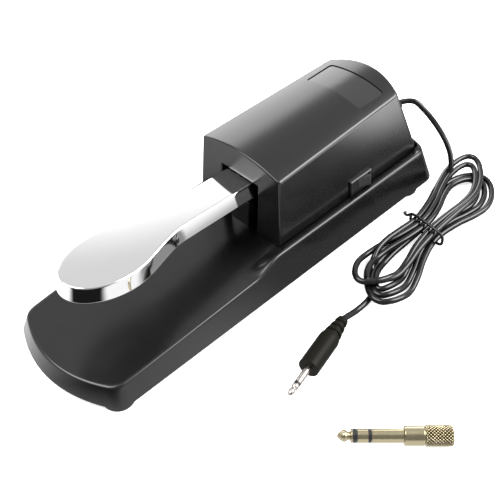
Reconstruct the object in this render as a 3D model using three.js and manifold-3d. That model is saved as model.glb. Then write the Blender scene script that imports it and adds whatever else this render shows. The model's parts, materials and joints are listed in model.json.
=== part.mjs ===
// Sustain pedal: a wedge-shaped base, a crowned housing, a sprung chrome lever and a coiled lead.
// Millimetres. The origin is the middle of the bottom plate's underside, and the floor is FOOT_HEIGHT
// below it.
// +X is the side with the polarity switch, +Y is the cable end, and +Z is up. The lever's toe points to -Y.
import * as THREE from "three";
import { mergeVertices } from "three/addons/utils/BufferGeometryUtils.js";
import Module from "manifold-3d";

const wasm = await Module();
wasm.setup();

// ---- driving dimensions ----
const FLOOR_GAP = 0.1; // cable above the floor
const FIT_GAP = 0.3; // between pieces that rest on, or sit inside, each other
const WALL = 2.5; // moulded walls

const BASE_LENGTH = 255.6;
const BASE_HALF_WIDTH = 38.5;
const FOOT_HEIGHT = 3.1;
const FOOT_RADIUS = 8.4;
const TOE_HEIGHT = 10.4; // top of the base at its toe end
const DECK_HEIGHT = 19.1; // top of the base under the housing
const RIM_HEIGHT = 22.1; // raised rim round the housing
const RIM_RISE = [-24.1, -5.4]; // where the rim starts and stops rising
const RIM_COVE = [27, 34]; // the deck curves up to the rim between these distances from the middle

const HOUSING_WALL_LEAN = 5.4; // degrees, of the side walls
const HOUSING_FRONT = { half: 27.15, height: 60.9 }; // top corners at y = 0
const HOUSING_REAR = { half: 24.3, height: 63.5, y: 96.3, bow: 23 }; // top corners at the back
const HOUSING_CROWN = 4.8; // rise of the roof from its edge to its middle
const HOUSING_FOOT = { half: 29.4, y: 114, bow: 15 }; // bottom corners
const SLOT_HALF_WIDTH = 12.85;
const SLOT_TOP = 50.9;

const LEVER_TOE = -114.1;
const LEVER_TOE_LENGTH = 28.8; // of the rounded end
const LEVER_WAIST = 67.6; // from the toe to where the lever is narrow
const LEVER_TOE_HALF = 18.7;
const LEVER_HALF = 10.6;
const LEVER_TOP = 50.3; // height of the top face at y = 0
const LEVER_SLOPE = 0.0395; // rise per millimetre towards the toe
const LEVER_LIP = 8.2;
const LEVER_TAIL_LIP = 13;
const LEVER_SHEET = 1.8;
const LEVER_END = 97;
const PIVOT = { y: 88, z: 40.5 };
const AXLE_RADIUS = 2;
const SPRING_Y = 44;
const CONTACT_Y = 68;

const CABLE_RADIUS = 1.6;
const COIL_CENTRE = [64, 80.5]; // where the tie gathers the loops
const PLUG_START = [74.9, -2.2];
const PLUG_END = [87.6, -55.2];
const PLUG_RADIUS = 5.3;
const ADAPTER_TIP = [118.2, -56.95];
const ADAPTER_END = [155.2, -20.15];
const ADAPTER_SHANK_RADIUS = 3.175;
const ADAPTER_RADIUS = 4.85;

// ---- materials ----
const finish = (color, roughness, metalness) =>
  new THREE.MeshStandardMaterial({ color, roughness, metalness });
const FINISHES = {
  blackPlastic: finish(0x17171a, 0.42, 0),
  darkPlate: finish(0x34353a, 0.3, 0.2),
  chrome: finish(0xdfe1e4, 0.06, 1),
  steel: finish(0x9a9da1, 0.35, 1),
  paintedSteel: finish(0x1c1c1e, 0.55, 0.3),
  rubber: finish(0x121213, 0.85, 0),
  felt: finish(0x3a1f1f, 0.95, 0),
  nylon: finish(0xd9d6cb, 0.5, 0),
  switchPlastic: finish(0x101012, 0.35, 0),
  board: finish(0x1f5a34, 0.5, 0),
  cable: finish(0x0f0f11, 0.38, 0),
  nickel: finish(0xc9c4b8, 0.2, 1),
  gold: finish(0xc9ad6a, 0.25, 1),
};

// ---- solids ----
// Shared vertices, no empty triangles, and faces that point out.
function closed(source) {
  const bare = source.clone();
  bare.deleteAttribute("normal");
  bare.deleteAttribute("uv");
  const merged = mergeVertices(bare, 1e-4);
  const place = merged.getAttribute("position");
  const corners = merged.getIndex().array;
  const kept = [];
  let volume = 0;
  const [a, b, c] = [new THREE.Vector3(), new THREE.Vector3(), new THREE.Vector3()];
  for (let i = 0; i < corners.length; i += 3) {
    const [p, q, r] = corners.slice(i, i + 3);
    if (p === q || q === r || r === p) continue;
    kept.push([p, q, r]);
    a.fromBufferAttribute(place, p);
    b.fromBufferAttribute(place, q);
    c.fromBufferAttribute(place, r);
    volume += a.dot(b.cross(c));
  }
  if (volume < 0) kept.forEach((triangle) => triangle.reverse());
  merged.setIndex(kept.flat());
  merged.computeVertexNormals();
  return merged;
}

function solid(source) {
  const geometry = closed(source);
  return new wasm.Manifold(
    new wasm.Mesh({
      numProp: 3,
      vertProperties: Float32Array.from(geometry.getAttribute("position").array),
      triVerts: Uint32Array.from(geometry.getIndex().array),
    }),
  );
}

function surface(manifold) {
  const mesh = manifold.getMesh();
  const geometry = new THREE.BufferGeometry();
  geometry.setAttribute("position", new THREE.BufferAttribute(mesh.vertProperties, 3));
  geometry.setIndex(new THREE.BufferAttribute(mesh.triVerts, 1));
  geometry.computeVertexNormals();
  return geometry;
}

// Joins the added pieces to the body, and then cuts the removed ones from it.
function shaped(body, added, removed) {
  let result = solid(body);
  for (const piece of added) result = result.add(solid(piece));
  for (const piece of removed) result = result.subtract(solid(piece));
  return surface(result);
}

function block([x0, x1], [y0, y1], [z0, z1]) {
  const geometry = new THREE.BoxGeometry(x1 - x0, y1 - y0, z1 - z0);
  return geometry.translate((x0 + x1) / 2, (y0 + y1) / 2, (z0 + z1) / 2);
}

function post(radius, [z0, z1], x = 0, y = 0, sides = 14) {
  const geometry = new THREE.CylinderGeometry(radius, radius, z1 - z0, sides);
  return geometry.rotateX(Math.PI / 2).translate(x, y, (z0 + z1) / 2);
}

// A bar along X.
function bar(radius, [x0, x1], y, z, sides = 16) {
  const geometry = new THREE.CylinderGeometry(radius, radius, x1 - x0, sides);
  return geometry.rotateZ(Math.PI / 2).translate((x0 + x1) / 2, y, z);
}

// A turned piece on the Z axis, from its [radius, height] profile.
function turned(profile, sides = 20) {
  const points = profile.map(([radius, height]) => new THREE.Vector2(radius, height));
  return closed(new THREE.LatheGeometry(points, sides).rotateX(Math.PI / 2));
}

// A round bar of the given radius along a curve.
function drawn(curve, radius, steps, sides = 6) {
  const section = new THREE.Shape();
  for (let i = 0; i < sides; i += 1) {
    const angle = (2 * Math.PI * i) / sides;
    const draw = i === 0 ? "moveTo" : "lineTo";
    section[draw](radius * Math.cos(angle), radius * Math.sin(angle));
  }
  return closed(new THREE.ExtrudeGeometry(section, { steps, extrudePath: curve }));
}

// A body between two stacks of rows. A row is [half width, y]; a column is a share of the half width.
function lofted(topRows, bottomRows, columns, topHeight, bottomHeight) {
  const vertices = [];
  const triangles = [];
  const sheet = (rows, height) => {
    const start = vertices.length / 3;
    for (const [half, y] of rows) {
      for (const share of columns) vertices.push(share * half, y, height(share * half, y));
    }
    return (row, column) => start + row * columns.length + column;
  };
  const top = sheet(topRows, topHeight);
  const bottom = sheet(bottomRows, bottomHeight);
  const quad = (a, b, c, d) => triangles.push(a, b, c, a, c, d);
  const lastRow = topRows.length - 1;
  const lastColumn = columns.length - 1;
  for (let i = 0; i < lastRow; i += 1) {
    for (let j = 0; j < lastColumn; j += 1) {
      quad(top(i, j), top(i, j + 1), top(i + 1, j + 1), top(i + 1, j));
      quad(bottom(i, j), bottom(i + 1, j), bottom(i + 1, j + 1), bottom(i, j + 1));
    }
    quad(top(i, 0), top(i + 1, 0), bottom(i + 1, 0), bottom(i, 0));
    quad(top(i + 1, lastColumn), top(i, lastColumn), bottom(i, lastColumn), bottom(i + 1, lastColumn));
  }
  for (let j = 0; j < lastColumn; j += 1) {
    quad(top(0, j + 1), top(0, j), bottom(0, j), bottom(0, j + 1));
    quad(top(lastRow, j), top(lastRow, j + 1), bottom(lastRow, j + 1), bottom(lastRow, j));
  }
  const geometry = new THREE.BufferGeometry();
  geometry.setAttribute("position", new THREE.Float32BufferAttribute(vertices, 3));
  geometry.setIndex(triangles);
  return closed(geometry);
}

// A bowed end with rounded corners, as [half width, distance back from the end's middle].
function bowedEnd(half, corner, angle, bowSteps, cornerSteps) {
  const slope = THREE.MathUtils.degToRad(angle);
  const bowHalf = half - corner * (1 - Math.sin(slope));
  const depth = (x) => (Math.tan(slope) * x * x) / (2 * bowHalf);
  const points = [];
  for (let i = 0; i <= bowSteps; i += 1) {
    const x = (bowHalf * i) / bowSteps;
    points.push([x, depth(x)]);
  }
  for (let i = 1; i <= cornerSteps; i += 1) {
    const turn = slope + ((Math.PI / 2 - slope) * i) / cornerSteps;
    const x = half - corner + corner * Math.sin(turn);
    points.push([x, depth(bowHalf) + corner * (Math.cos(slope) - Math.cos(turn))]);
  }
  return points;
}

const ease = (value, [low, high]) => {
  const share = THREE.MathUtils.clamp((value - low) / (high - low), 0, 1);
  return share * share * (3 - 2 * share);
};

function mesh(name, geometry, material) {
  const piece = new THREE.Mesh(geometry, material.clone());
  piece.name = name;
  return piece;
}

// The right and left copies of a piece, which differ only in their place.
function pair(name, makeGeometry, material) {
  return [
    mesh(`${name}_right`, makeGeometry(1), material),
    mesh(`${name}_left`, makeGeometry(-1), material),
  ];
}

// ---- base ----
const BASE_END = BASE_LENGTH / 2;
const BASE_SIDE_STATIONS = [-60, RIM_RISE[0], -19.5, -14.7, -10, RIM_RISE[1], 0, 60];
const BASE_COLUMNS = [-1, -0.93, -0.86, -0.78, 0.78, 0.86, 0.93, 1];
const BASE_TOP_HALF = { toe: 34.5, waist: 36.1, housing: 34.8 };
const BASE_DRAFT = { front: 2.5, rear: 7.6 }; // lean of the end walls
const BASE_BOW = { front: 29.5, rear: 16 }; // degrees that the ends turn back by at the corners
const BASE_CORNER = 9;

// Half width of the base's top edge at a place along its side.
function rimHalf(y) {
  const { toe, waist, housing } = BASE_TOP_HALF;
  if (y > RIM_RISE[0]) return waist + (housing - waist) * ease(y, RIM_RISE);
  return toe + (waist - toe) * ((y + BASE_END) / (RIM_RISE[0] + BASE_END));
}

function baseRows(inset, frontLean, rearLean, sideHalf) {
  const front = bowedEnd(sideHalf(-BASE_END) - inset, BASE_CORNER - inset, BASE_BOW.front, 3, 3);
  const rear = bowedEnd(sideHalf(BASE_END) - inset, BASE_CORNER - inset, BASE_BOW.rear, 3, 3);
  return [
    ...front.map(([half, back]) => [half, -BASE_END + frontLean + inset + back]),
    ...BASE_SIDE_STATIONS.map((y) => [sideHalf(y) - inset, y]),
    ...rear.reverse().map(([half, back]) => [half, BASE_END - rearLean - inset - back]),
  ];
}

const platform = (y) => TOE_HEIGHT + (DECK_HEIGHT - TOE_HEIGHT) * Math.min(1, (y + BASE_END) / BASE_END);

// Height of the base's top: the platform, and the rim that rises beside and behind the housing.
function baseTop(x, y) {
  const side = ease(Math.abs(x), RIM_COVE);
  const back = ease(y, [104, 112]);
  const rise = (RIM_HEIGHT - platform(y)) * ease(y, RIM_RISE);
  return platform(y) + rise * Math.max(side, back);
}

const fullHalf = () => BASE_HALF_WIDTH;
const FOOT_PLACES = { front: [29.5, -110.4], rear: [30, 103] };
const PLATE_SCREW_PLACES = { front: [28, -70], rear: [28, 50] };
const HOUSING_SCREW_PLACES = { front: [22.5, 12], rear: [22.5, 92] };
const BRACKET_SCREW_X = 6.5;
const BOARD_POSTS = [[11, 62], [-11, 62], [11, 77], [-11, 77]];
const PLATE_THICKNESS = 1.6;
const PLATE_GAP = 1.5; // all round, because the walls lean in
const SCREW = { shank: 1.4, hole: 1.7, head: 3 };
const TONGUE = { half: 6.5, y: [0.3, 5], top: 35.2 };

const bothSides = ([x, y]) => [[x, y], [-x, y]];
const everyFoot = Object.values(FOOT_PLACES).flatMap(bothSides);
const everyPlateScrew = Object.values(PLATE_SCREW_PLACES).flatMap(bothSides);
const everyHousingScrew = Object.values(HOUSING_SCREW_PLACES).flatMap(bothSides);
const everyBracketScrew = bothSides([BRACKET_SCREW_X, PIVOT.y]);

function baseShell() {
  const skirt = lofted(
    baseRows(0, BASE_DRAFT.front, BASE_DRAFT.rear, rimHalf),
    baseRows(0, 0, 0, fullHalf),
    BASE_COLUMNS,
    baseTop,
    () => 0,
  );
  const hollow = lofted(
    baseRows(WALL, BASE_DRAFT.front, BASE_DRAFT.rear, rimHalf),
    baseRows(WALL, 0, 0, fullHalf),
    [-1, 1],
    (x, y) => platform(y) - WALL,
    () => -1,
  );
  const columns = [
    ...everyFoot.map(([x, y]) => post(FOOT_RADIUS, [-2, DECK_HEIGHT], x, y, 18)),
    ...everyPlateScrew.map(([x, y]) => post(4, [PLATE_THICKNESS + FIT_GAP, DECK_HEIGHT], x, y)),
    ...everyBracketScrew.map(([x, y]) => post(4, [8, DECK_HEIGHT], x, y)),
  ];
  const pocket = housingOutline(0.6, [DECK_HEIGHT, RIM_HEIGHT + 1]);
  const tongue = block([-TONGUE.half, TONGUE.half], TONGUE.y, [DECK_HEIGHT - 1, TONGUE.top]);
  const boardPosts = BOARD_POSTS.map(([x, y]) => post(2.6, [DECK_HEIGHT - 1, BOARD_BOTTOM], x, y));
  const holes = [
    ...everyFoot.map(([x, y]) => post(2.9, [-1, 6], x, y)),
    ...everyPlateScrew.map(([x, y]) => post(SCREW.hole, [1, 10.5], x, y)),
    ...everyHousingScrew.map(([x, y]) => post(SCREW.hole, [10, DECK_HEIGHT + 1], x, y)),
    ...everyBracketScrew.map(([x, y]) => post(SCREW.hole, [9, DECK_HEIGHT + 1], x, y)),
    ...BOARD_POSTS.map(([x, y]) => post(1.2, [DECK_HEIGHT + 0.5, BOARD_BOTTOM + 1], x, y, 10)),
  ];
  const shell = shaped(skirt, [], [shaped(hollow, [], columns), pocket]);
  return shaped(shell, [tongue, ...boardPosts], holes);
}

// The plate that closes the base from below, cut away round the feet.
function basePlate() {
  const rows = baseRows(WALL + PLATE_GAP, 0, 0, fullHalf);
  const plate = lofted(rows, rows, [-1, 1], () => PLATE_THICKNESS, () => 0);
  const cuts = [
    ...everyFoot.map(([x, y]) => post(FOOT_RADIUS + 0.4, [-1, 3], x, y, 18)),
    ...everyPlateScrew.map(([x, y]) =>
      turned([[0, -1], [4.6, -1], [1.8, PLATE_THICKNESS], [1.8, 3], [0, 3]], 14).translate(x, y, 0)),
  ];
  return shaped(plate, [], cuts);
}

// A rubber foot with a stem that pushes into the base.
function foot(x, y) {
  const profile = [
    [0, -FOOT_HEIGHT], [FOOT_RADIUS - 0.8, -FOOT_HEIGHT], [FOOT_RADIUS, -FOOT_HEIGHT + 0.8],
    [FOOT_RADIUS, 0], [2.5, 0], [2.5, 5], [0, 5],
  ];
  return turned(profile, 18).translate(x, y, 0);
}

// A screw that points up, its head's seat at z = 0.
function screw(length, headHeight) {
  const { shank, head } = SCREW;
  return turned(
    [[0, -headHeight], [head - 0.6, -headHeight], [head, -headHeight * 0.5], [head, 0], [shank, 0],
      [shank, length - 1.5], [0, length]],
    12,
  );
}

function countersunkScrew(x, y) {
  return turned([[0, 0.2], [3.1, 0.2], [1.4, 1.7], [1.4, 9], [0, 9.6]], 12).translate(x, y, 0);
}

// ---- housing ----
const HOUSING_COLUMNS = [-1, -0.75, -0.5, -0.25, 0, 0.25, 0.5, 0.75, 1];
const HOUSING_BOTTOM = DECK_HEIGHT + FIT_GAP;
const HOUSING_SIDE_STATIONS = [0, 30, 60, 88];
const ROOF = 3.2;

const roofHalf = (y) =>
  HOUSING_FRONT.half + ((HOUSING_REAR.half - HOUSING_FRONT.half) * y) / HOUSING_REAR.y;

// Height of the crowned roof.
function roofTop(x, y) {
  const edge = HOUSING_FRONT.height + ((HOUSING_REAR.height - HOUSING_FRONT.height) * y) / HOUSING_REAR.y;
  return edge + HOUSING_CROWN * (1 - (x / roofHalf(y)) ** 2);
}

// How far the middle of the housing's back stands behind its corners.
const backBow = (half, bowAngle) => (Math.tan(THREE.MathUtils.degToRad(bowAngle)) * half) / 2;

// Rows from the flat front to the bowed back.
function housingRows(half, rearCorner, bowAngle, inset) {
  const end = bowedEnd(half(rearCorner) - inset, 2.5, bowAngle, 4, 2);
  const apex = rearCorner + backBow(half(rearCorner), bowAngle) - inset;
  const scale = rearCorner / HOUSING_FOOT.y;
  return [
    ...HOUSING_SIDE_STATIONS.map((y) => [half(y) - inset, y === 0 ? inset : y * scale]),
    ...end.reverse().map(([x, back]) => [x, apex - back]),
  ];
}

const footHalf = () => HOUSING_FOOT.half;

function housingOutline(clearance, [z0, z1]) {
  const rows = housingRows(footHalf, HOUSING_FOOT.y, HOUSING_FOOT.bow, -clearance);
  return lofted(rows, rows, HOUSING_COLUMNS, () => z1, () => z0);
}

function housingShell() {
  const outside = lofted(
    housingRows(roofHalf, HOUSING_REAR.y, HOUSING_REAR.bow, 0),
    housingRows(footHalf, HOUSING_FOOT.y, HOUSING_FOOT.bow, 0),
    HOUSING_COLUMNS,
    roofTop,
    () => HOUSING_BOTTOM,
  );
  const inside = lofted(
    housingRows(roofHalf, HOUSING_REAR.y, HOUSING_REAR.bow, WALL),
    housingRows(footHalf, HOUSING_FOOT.y, HOUSING_FOOT.bow, WALL),
    HOUSING_COLUMNS,
    (x, y) => roofTop(x, y) - ROOF,
    () => HOUSING_BOTTOM - 1,
  );
  const posts = everyHousingScrew.map(([x, y]) => post(4, [HOUSING_BOTTOM, 34], x, y));
  const padRib = block([-11, 11], [WALL - 0.5, 7.6], [PAD_TOP, HOUSING_FRONT.height]);
  const [switchY, switchZ] = SWITCH.body.map((half) => half + FIT_GAP);
  const cuts = [
    block([-SLOT_HALF_WIDTH, SLOT_HALF_WIDTH], [-1, WALL + 0.05], [HOUSING_BOTTOM - 1, SLOT_TOP]),
    ...everyHousingScrew.map(([x, y]) => post(SCREW.hole, [HOUSING_BOTTOM - 1, 32], x, y)),
    namePlateBody(FIT_GAP, NAME_PLATE.depth + NAME_PLATE.thickness + FIT_GAP, -1),
    onSwitch(block([-12, 3], [-switchY, switchY], [-switchZ, switchZ])),
    onGrommet(post(GROMMET.neck + FIT_GAP, [-8, 8])),
  ];
  const shell = solid(outside).subtract(solid(inside));
  return shaped(surface(shell), [...posts, padRib], cuts);
}

// ---- name plate: a plain inset with the roof's curve ----
const NAME_PLATE = { half: 18.6, y: [70.2, 90.2], depth: 0.5, thickness: 1.2 };

function namePlateBody(margin, bottomDepth, topDepth) {
  const [y0, y1] = NAME_PLATE.y;
  const half = NAME_PLATE.half + margin;
  const rows = [[half, y0 - margin], [half, y1 + margin]];
  return lofted(rows, rows, HOUSING_COLUMNS,
    (x, y) => roofTop(x, y) - topDepth, (x, y) => roofTop(x, y) - bottomDepth);
}

const namePlate = () => namePlateBody(0, NAME_PLATE.depth + NAME_PLATE.thickness, NAME_PLATE.depth);

// ---- lever ----
const leverTop = (x, y) => LEVER_TOP - LEVER_SLOPE * y;
const lipHeight = (y) => LEVER_LIP + (LEVER_TAIL_LIP - LEVER_LIP) * ease(y, [50, 72]);

function leverRows(inset) {
  const rows = [];
  const toeSteps = 7;
  for (let i = 0; i <= toeSteps; i += 1) {
    const angle = (Math.PI / 2) * (i / toeSteps);
    rows.push([
      (LEVER_TOE_HALF - inset) * Math.sin(angle),
      LEVER_TOE + LEVER_TOE_LENGTH - (LEVER_TOE_LENGTH - inset) * Math.cos(angle),
    ]);
  }
  const neckSteps = 7;
  for (let i = 1; i <= neckSteps; i += 1) {
    const y = LEVER_TOE + LEVER_TOE_LENGTH + ((LEVER_WAIST - LEVER_TOE_LENGTH) * i) / neckSteps;
    const narrowing = ease(i / neckSteps, [0, 1]);
    rows.push([LEVER_TOE_HALF + (LEVER_HALF - LEVER_TOE_HALF) * narrowing - inset, y]);
  }
  for (const y of [0, 50, 56, 61, 66, 72, LEVER_END + inset]) rows.push([LEVER_HALF - inset, y]);
  return rows;
}

function lever() {
  const columns = [-1, 0, 1];
  const outside = lofted(leverRows(0), leverRows(0), columns, leverTop,
    (x, y) => leverTop(x, y) - lipHeight(y));
  const inside = lofted(leverRows(LEVER_SHEET), leverRows(LEVER_SHEET), columns,
    (x, y) => leverTop(x, y) - 2, (x, y) => leverTop(x, y) - lipHeight(y) - 1);
  return shaped(outside, [], [inside, bar(BUSH.outer + FIT_GAP, [-15, 15], PIVOT.y, PIVOT.z)]);
}

// ---- pivot: a folded bracket, an axle with two clips, and flanged bushes in the lever ----
const BUSH = { inner: AXLE_RADIUS + 0.07, outer: 3.2, flange: 4.8 };
const EAR = { x: [11.6, 13.4], half: 7, top: PIVOT.z + 5 };
const CLIP_X = 14.6;

function pivotBracket() {
  const floor = block([-15, 15], [81, 95.5], [DECK_HEIGHT, DECK_HEIGHT + 1.8]);
  const ears = [1, -1].map((side) =>
    block([...EAR.x].map((x) => x * side).sort((a, b) => a - b),
      [PIVOT.y - EAR.half, PIVOT.y + EAR.half], [DECK_HEIGHT + 1, EAR.top]));
  const holes = [
    bar(AXLE_RADIUS + 0.05, [-20, 20], PIVOT.y, PIVOT.z),
    ...everyBracketScrew.map(([x, y]) => post(SCREW.hole, [DECK_HEIGHT - 1, DECK_HEIGHT + 4], x, y)),
  ];
  return shaped(floor, ears, holes);
}

function pivotAxle() {
  const half = 16.2;
  const groove = [CLIP_X - 0.5, CLIP_X + 0.5];
  const neck = 1.5;
  const profile = [
    [0, -half], [AXLE_RADIUS - 0.3, -half], [AXLE_RADIUS, -half + 0.3],
    [AXLE_RADIUS, -groove[1]], [neck, -groove[1]], [neck, -groove[0]], [AXLE_RADIUS, -groove[0]],
    [AXLE_RADIUS, groove[0]], [neck, groove[0]], [neck, groove[1]], [AXLE_RADIUS, groove[1]],
    [AXLE_RADIUS, half - 0.3], [AXLE_RADIUS - 0.3, half], [0, half],
  ];
  return turned(profile, 16).rotateY(Math.PI / 2).translate(0, PIVOT.y, PIVOT.z);
}

// An open ring that snaps into the axle's groove.
function axleClip(side) {
  const ring = turned([[1.7, -0.35], [3.6, -0.35], [3.6, 0.35], [1.7, 0.35], [1.7, -0.35]], 16);
  const open = shaped(ring, [], [block([-1.3, 1.3], [-5, 0], [-1, 1])]);
  return open.rotateY(Math.PI / 2).translate(side * CLIP_X, PIVOT.y, PIVOT.z);
}

function pivotBush(side) {
  const { inner, outer, flange } = BUSH;
  const [lip, ear] = [LEVER_HALF + 0.15, EAR.x[0] - 0.15];
  const start = LEVER_HALF - LEVER_SHEET - 0.4;
  const profile = [
    [inner, start], [outer, start], [outer, lip], [flange, lip], [flange, ear], [inner, ear], [inner, start],
  ];
  return turned(profile, 16).rotateY((side * Math.PI) / 2).translate(0, PIVOT.y, PIVOT.z);
}

// ---- spring, stops and contact switch ----
const SPRING = { radius: 5.5, wire: 0.75, turns: 6, bottom: DECK_HEIGHT + 2.2 };
const PAD_TOP = 52.6;

function springCoil() {
  const top = leverTop(0, SPRING_Y) - 2 - 1.9;
  const low = SPRING.bottom + SPRING.wire + 0.2;
  const high = top - SPRING.wire - 0.2;
  const points = [];
  const perTurn = 12;
  for (let i = 0; i <= SPRING.turns * perTurn; i += 1) {
    const angle = (2 * Math.PI * i) / perTurn;
    const share = i / (SPRING.turns * perTurn);
    points.push(new THREE.Vector3(
      SPRING.radius * Math.cos(angle),
      SPRING_Y + SPRING.radius * Math.sin(angle),
      low + (high - low) * share,
    ));
  }
  return drawn(new THREE.CatmullRomCurve3(points), SPRING.wire, SPRING.turns * 10, 5);
}

function springSeat() {
  return turned([[0, 0], [7.6, 0], [7.6, 1.8], [3.8, 1.8], [3.4, 6.5], [0, 6.5]])
    .translate(0, SPRING_Y, DECK_HEIGHT);
}

// Hangs from the inside of the lever's top.
function springCap() {
  const height = leverTop(0, SPRING_Y) - 2 - FIT_GAP - 0.2;
  return turned([[0, -5.5], [3.4, -5.5], [3.8, -1.4], [6.8, -1.4], [6.8, 0], [0, 0]])
    .translate(0, SPRING_Y, height);
}

const stopPad = () => block([-6, 6], [0.9, 4.7], [TONGUE.top, 37]);
const restPad = () => block([-9.5, 9.5], [2.9, 7.4], [LEVER_TOP + 0.2, PAD_TOP]);

const BOARD_BOTTOM = 23.1;
const BOARD_TOP = BOARD_BOTTOM + 1.6;
const CONTACT = { half: [6.4, 3.25], top: 36.7, rod: 1.5, rodBottom: 30, travel: 3 };

function circuitBoard() {
  const plate = block([-14, 14], [58.5, 80.4], [BOARD_BOTTOM, BOARD_TOP]);
  const holes = BOARD_POSTS.map(([x, y]) => post(1.4, [BOARD_BOTTOM - 1, BOARD_TOP + 1], x, y, 12));
  return shaped(plate, [], holes);
}

function contactSwitch() {
  const [halfX, halfY] = CONTACT.half;
  const box = block([-halfX, halfX], [CONTACT_Y - halfY, CONTACT_Y + halfY], [BOARD_TOP, CONTACT.top]);
  const boreHeights = [CONTACT.rodBottom - CONTACT.travel - 0.5, CONTACT.top + 1];
  const bore = post(CONTACT.rod + 0.08, boreHeights, 0, CONTACT_Y, 24);
  return shaped(box, [], [bore]);
}

function contactPlunger() {
  const top = leverTop(0, CONTACT_Y) - 2 - 0.36;
  return turned([[0, CONTACT.rodBottom], [CONTACT.rod, CONTACT.rodBottom], [CONTACT.rod, top - 0.4],
    [CONTACT.rod - 0.4, top], [0, top]], 24).translate(0, CONTACT_Y, 0);
}

// A board screw that points down.
function boardScrew(x, y) {
  return turned([[0, -4], [1, -3.4], [1, 0], [2.3, 0], [2.3, 0.9], [1.6, 1.5], [0, 1.5]], 12)
    .translate(x, y, BOARD_TOP);
}

// ---- polarity switch in the right wall ----
const SWITCH = {
  place: [28.76, 63, 25.3],
  flange: [8.5, 4.7],
  body: [7.5, 4.1],
  window: [6.9, 3.5],
  pivotX: -1,
  tilt: 9,
};

function onSwitch(geometry) {
  return geometry.rotateY(-THREE.MathUtils.degToRad(HOUSING_WALL_LEAN)).translate(...SWITCH.place);
}

function switchBody() {
  const [flangeY, flangeZ] = SWITCH.flange;
  const [bodyY, bodyZ] = SWITCH.body;
  const [windowY, windowZ] = SWITCH.window;
  const flange = block([0.3, 1.6], [-flangeY, flangeY], [-flangeZ, flangeZ]);
  const body = block([-8, 0.6], [-bodyY, bodyY], [-bodyZ, bodyZ]);
  const window = block([-6.2, 3], [-windowY, windowY], [-windowZ, windowZ]);
  return onSwitch(shaped(flange, [body], [window]));
}

// The rocker's end nearer the lever is pressed in at rest.
function switchRocker() {
  const outline = [[2.6, -6.1], [1.3, 0], [2.6, 6.1], [-1.4, 5.6], [-4, 1.8], [-4, -1.8], [-1.4, -5.6]];
  const shape = new THREE.Shape(outline.map(([x, y]) => new THREE.Vector2(x - SWITCH.pivotX, y)));
  const half = SWITCH.window[1] - 0.3;
  const rocker = new THREE.ExtrudeGeometry(shape, { depth: 2 * half, bevelEnabled: false });
  rocker.translate(0, 0, -half).rotateZ(-THREE.MathUtils.degToRad(SWITCH.tilt));
  return onSwitch(closed(rocker.translate(SWITCH.pivotX, 0, 0)));
}

function switchWire(offset) {
  const points = [[20, 63, 26.2], [17.4, 64.6, 27.4], [13.2, 67, 27.2], [11.8, 68.4, 25.7]]
    .map(([x, y, z]) => new THREE.Vector3(x, y + offset, z));
  return drawn(new THREE.CatmullRomCurve3(points), 0.55, 7, 5);
}

// ---- cable grommet, in the sloping back ----
const GROMMET = { x: 12, z: 40.2, neck: 3.2, lean: 22.6, yaw: 8.5 };

// Distance back to the housing's outer wall, at a place and height on its back.
function backWall(x, z) {
  const { half, y, bow } = HOUSING_REAR;
  const dip = (x / half) ** 2;
  const top = y + backBow(half, bow) * (1 - dip);
  const bottom = HOUSING_FOOT.y + backBow(HOUSING_FOOT.half, HOUSING_FOOT.bow) * (1 - dip);
  return bottom + ((top - bottom) * (z - HOUSING_BOTTOM)) / (roofTop(x, y) - HOUSING_BOTTOM);
}

function onGrommet(geometry) {
  const { x, z, lean, yaw } = GROMMET;
  geometry.rotateX(-Math.PI / 2 + THREE.MathUtils.degToRad(lean)).rotateZ(-THREE.MathUtils.degToRad(yaw));
  return geometry.translate(x, backWall(x, z), z);
}

function grommet() {
  const bore = CABLE_RADIUS + FIT_GAP;
  return onGrommet(turned([
    [bore, -4.5], [GROMMET.neck, -4.5], [GROMMET.neck, 0.6], [4.6, 0.6], [4.6, 2.2], [3.3, 2.2],
    [2.6, 5.8], [bore, 5.8], [bore, -4.5],
  ]));
}

// ---- lead: out of the grommet, down to the floor, five loops in two layers, and on to the plug ----
const FLOOR = -FOOT_HEIGHT;
const LAYER_LOW = FLOOR + CABLE_RADIUS + FLOOR_GAP;
const LAYER_STEP = 2 * CABLE_RADIUS + 0.2;
const LOOPS_PER_LAYER = 3;
// The lobes in the order the cable runs through them: how far each tip leans to +X, its reach, its half width.
const UPPER_LOBES = [
  [-10, 64, 20], [-5, 61.5, 19.5], [-6, 58, 15.5], [-7, 54.5, 11.5], [-15, 62, 12], [-18, 69, 15.5],
];
const LOWER_LOBES = [[13.5, 60.5, 18.5], [11.5, 57, 14], [9.5, 53.5, 9.5], [4.5, 55, 10.5], [0.5, 58.5, 15]];
const TIE_HALF = 10.2;
const TIE_STEP = 3.3;
const TIE_LIFT = 2.3; // room for the tie under the strands
const TAIL_LIFT = 3.3; // the lower lobes rest on the cable's last stretch

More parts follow.
